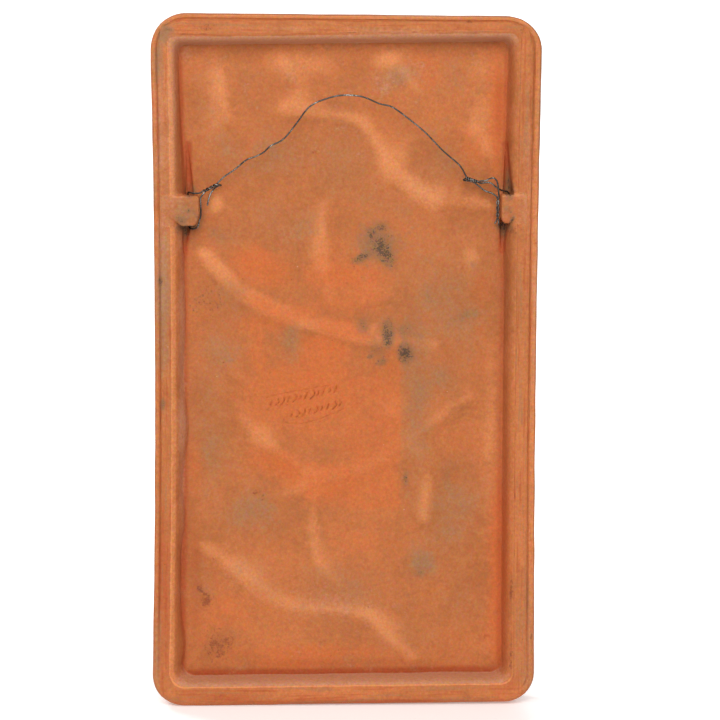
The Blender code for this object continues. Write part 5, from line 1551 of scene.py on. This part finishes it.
def minus_x_end(wire_diameter):
    """The wire at the -X lug: in from the arch, the knot, round the lug, the knot and a twisted tail."""
    lug = LUGS[1]
    outer = beside_lug(lug, *MINUS_X_KNOT_OUTER)
    inner = beside_lug(lug, *MINUS_X_KNOT_INNER)
    pair_inward = lug.reach - lug.hole_inset + WIRE_CLEARANCE + wire_diameter / 2 + TWIST_RADIUS
    pair_low = beside_lug(lug, pair_inward, SIDE_STRAND_Y, LUG_CORNER - lug.height)
    pair_high = beside_lug(lug, pair_inward, SIDE_STRAND_Y, -LUG_CORNER)
    under = route_beside(lug, MINUS_X_UNDER_BELOW, -lug.height)
    tail_end = beside_lug(lug, pair_inward + 3 * TWIST_RADIUS, SIDE_STRAND_Y, -lug.height - WIRE_CLEARANCE)
    arriving = twist(outer, inner, 0.75, MINUS_X_KNOT_TURNS)
    turning_back = twist(outer, inner, 0.25, MINUS_X_KNOT_TURNS)[::-1]
    return (arriving + route_beside(lug, MINUS_X_ENTERING) + passage_through(lug) + under
            + twist(pair_low, pair_high, 0.0) + route_beside(lug, MINUS_X_HUMP)
            + turning_back + route_beside(lug, MINUS_X_TURNING)
            + route_beside(lug, MINUS_X_LOWER_ARC) + twist(pair_low, pair_high, 0.5)[::-1] + [tail_end])


def arch_points():
    """The free wire between the knots, with the small kinks of a wire that was bent by hand."""
    start = beside_lug(LUGS[0], *PLUS_X_KNOT_OUTER)
    end = beside_lug(LUGS[1], *MINUS_X_KNOT_OUTER)
    points = []
    for across, rise in ARCH_SHAPE:
        point = start.lerp(end, across)
        point.z = start.z + rise * ARCH_RISE
        point.y = ARCH_END_Y + rise * (ARCH_TOP_Y - ARCH_END_Y)
        points.append(point)
    return points


def wire_route(wire_diameter):
    """Points close together along the whole wire, from tail to tail."""
    points = plus_x_end(wire_diameter) + arch_points() + minus_x_end(wire_diameter)
    route = [points[0], *points, points[-1]]
    smooth = []
    for before, start, end, after in zip(route, route[1:], route[2:], route[3:]):
        steps = max(1, math.ceil((end - start).length / WIRE_STEP))
        smooth += [through(before, start, end, after, step / steps) for step in range(steps)]
    return smooth + [points[-1]]


class PLAQUE_OT_bend_wire(bpy.types.Operator):
    """Models the iron hanging wire, a smooth round wire with its twists, and gives it its finish"""
    bl_idname = "plaque.bend_wire"
    bl_label = "Bend the hanging wire"

    def execute(self, context):
        diameter = context.scene.plaque_sizes.wire_diameter
        curve = bpy.data.curves.new("iron_wire", "CURVE")
        curve.dimensions = "3D"
        curve.bevel_depth = diameter / 2
        curve.bevel_resolution = 4
        curve.use_fill_caps = True
        points = wire_route(diameter)
        spline = curve.splines.new("POLY")
        spline.points.add(len(points) - 1)
        for target, point in zip(spline.points, points):
            target.co = (point.x, point.y, point.z + PLAQUE_CENTRE_Z, 1.0)
        bent = link_new("wire_guide", curve)
        graph = context.evaluated_depsgraph_get()
        mesh = bpy.data.meshes.new_from_object(bent.evaluated_get(graph))
        bpy.data.objects.remove(bent, do_unlink=True)
        wire = link_new("iron_wire", mesh)
        mesh.shade_smooth()
        mesh.materials.clear()
        mesh.materials.append(iron_material(context.scene.plaque_colours))
        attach(wire, "root")
        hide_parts("hanging_wire")
        return {"FINISHED"}


# The stage: camera, floor that sweeps up far off, and soft lights

# The camera looks at a point near the plaque's middle, from above and a little to one side of straight behind
CAMERA_AIM = (-0.0077, -0.0120, 0.0010)
CAMERA_DISTANCE = 1.5
CAMERA_ELEVATION = 7.52
CAMERA_AZIMUTH = 2.70
CAMERA_ROLL = -0.30
SENSOR_WIDTH = 36.0
FLOOR_HALF_WIDTH = 3.2
FLOOR_FRONT = 3.2
FLOOR_BACK = -2.9
SWEEP_RADIUS = 0.5
SWEEP_HEIGHT = 1.7
SWEEP_STEPS = 24
# Each light's place and size. Its power is a setting.
LIGHTS = {
    "key": ((0.06, 0.92, 0.47), 0.80),
    "fill": ((-0.50, 1.30, 0.10), 0.90),
    "front": ((0.72, -0.72, 0.45), 0.35),
}


def make_camera(context, focal_length):
    """The camera at the photograph's place, aimed and rolled as it was."""
    angles = (CAMERA_ELEVATION, CAMERA_AZIMUTH, CAMERA_ROLL)
    elevation, azimuth, roll = (math.radians(angle) for angle in angles)
    forward = Vector((-math.sin(azimuth) * math.cos(elevation), -math.cos(azimuth) * math.cos(elevation),
                      -math.sin(elevation)))
    level = Vector((-math.cos(azimuth), math.sin(azimuth), 0.0))
    upward = level.cross(forward)
    right = level * math.cos(roll) - upward * math.sin(roll)
    up = level * math.sin(roll) + upward * math.cos(roll)
    camera = link_new("camera", bpy.data.cameras.new("camera"))
    camera.data.sensor_width = SENSOR_WIDTH
    camera.data.lens = focal_length
    place = Matrix((right, up, -forward)).transposed().to_4x4()
    place.translation = Vector(CAMERA_AIM) + Vector((0.0, 0.0, PLAQUE_CENTRE_Z)) - CAMERA_DISTANCE * forward
    camera.matrix_world = place
    context.scene.camera = camera


def make_floor(settings):
    """A pale sheet that lies under the plaque and sweeps up far past its front."""
    floor_z = CAD_BOX[0].z
    section = [(FLOOR_FRONT, floor_z)]
    for step in range(SWEEP_STEPS + 1):
        angle = math.pi / 2 * step / SWEEP_STEPS
        section.append((FLOOR_BACK - SWEEP_RADIUS * math.sin(angle),
                        floor_z + SWEEP_RADIUS * (1 - math.cos(angle))))
    section.append((FLOOR_BACK - SWEEP_RADIUS, floor_z + SWEEP_HEIGHT))
    vertices = [(side * FLOOR_HALF_WIDTH, y, z) for y, z in section for side in (-1, 1)]
    faces = [(2 * i, 2 * i + 1, 2 * i + 3, 2 * i + 2) for i in range(len(section) - 1)]
    mesh = bpy.data.meshes.new("stage_floor")
    mesh.from_pydata(vertices, [], faces)
    mesh.shade_smooth()
    mesh.materials.append(stage_material(settings))
    link_new("stage_floor", mesh)


def make_light(name, place, size, power):
    """A large square soft light that faces the plaque's middle, and isn't seen itself."""
    data = bpy.data.lights.new(name, "AREA")
    data.energy = power
    data.size = size
    light = link_new(name, data)
    light.location = place
    aim = Vector((0.0, 0.0, PLAQUE_CENTRE_Z)) - light.location
    light.rotation_euler = aim.to_track_quat("-Z", "Y").to_euler()
    light.visible_camera = False


class PLAQUE_OT_set_stage(bpy.types.Operator):
    """Sets up the camera, the pale floor and backdrop, and the soft lights"""
    bl_idname = "plaque.set_stage"
    bl_label = "Set the stage"

    def execute(self, context):
        settings = context.scene.plaque_stage
        make_camera(context, settings.focal_length)
        make_floor(settings)
        for name, (place, size) in LIGHTS.items():
            make_light(f"{name}_light", place, size, getattr(settings, f"{name}_power"))
        world = bpy.data.worlds.new("studio")
        world.use_nodes = True
        background = world.node_tree.nodes["Background"]
        background.inputs["Color"].default_value = (1.0, 1.0, 1.0, 1.0)
        background.inputs["Strength"].default_value = settings.room_light
        context.scene.world = world
        context.scene.view_settings.view_transform = "Standard"
        return {"FINISHED"}


class PLAQUE_PT_panel(bpy.types.Panel):
    """The steps that build the plaque, with their sizes and colours"""
    bl_label = "Plaque"
    bl_idname = "PLAQUE_PT_panel"
    bl_space_type = "VIEW_3D"
    bl_region_type = "UI"
    bl_category = "Plaque"

    def draw(self, context):
        for step in STEPS:
            self.layout.operator(step.bl_idname)
        for group in (context.scene.plaque_sizes, context.scene.plaque_colours, context.scene.plaque_stage):
            box = self.layout.box()
            for name in group.__annotations__:
                box.prop(group, name)


GROUPS = {"plaque_sizes": PlaqueSizes, "plaque_colours": PlaqueColours, "plaque_stage": StageSettings}
STEPS = (PLAQUE_OT_set_stage, PLAQUE_OT_press_clay, PLAQUE_OT_bend_wire)


def register():
    for name, group in GROUPS.items():
        bpy.utils.register_class(group)
        setattr(bpy.types.Scene, name, bpy.props.PointerProperty(type=group))
    for kind in (*STEPS, PLAQUE_PT_panel):
        bpy.utils.register_class(kind)


def unregister():
    for kind in (PLAQUE_PT_panel, *reversed(STEPS)):
        bpy.utils.unregister_class(kind)
    for name, group in GROUPS.items():
        delattr(bpy.types.Scene, name)
        bpy.utils.unregister_class(group)


def main():
    register()
    bpy.ops.plaque.set_stage()
    bpy.ops.plaque.press_clay()
    bpy.ops.plaque.bend_wire()


if __name__ == "__main__":
    main()
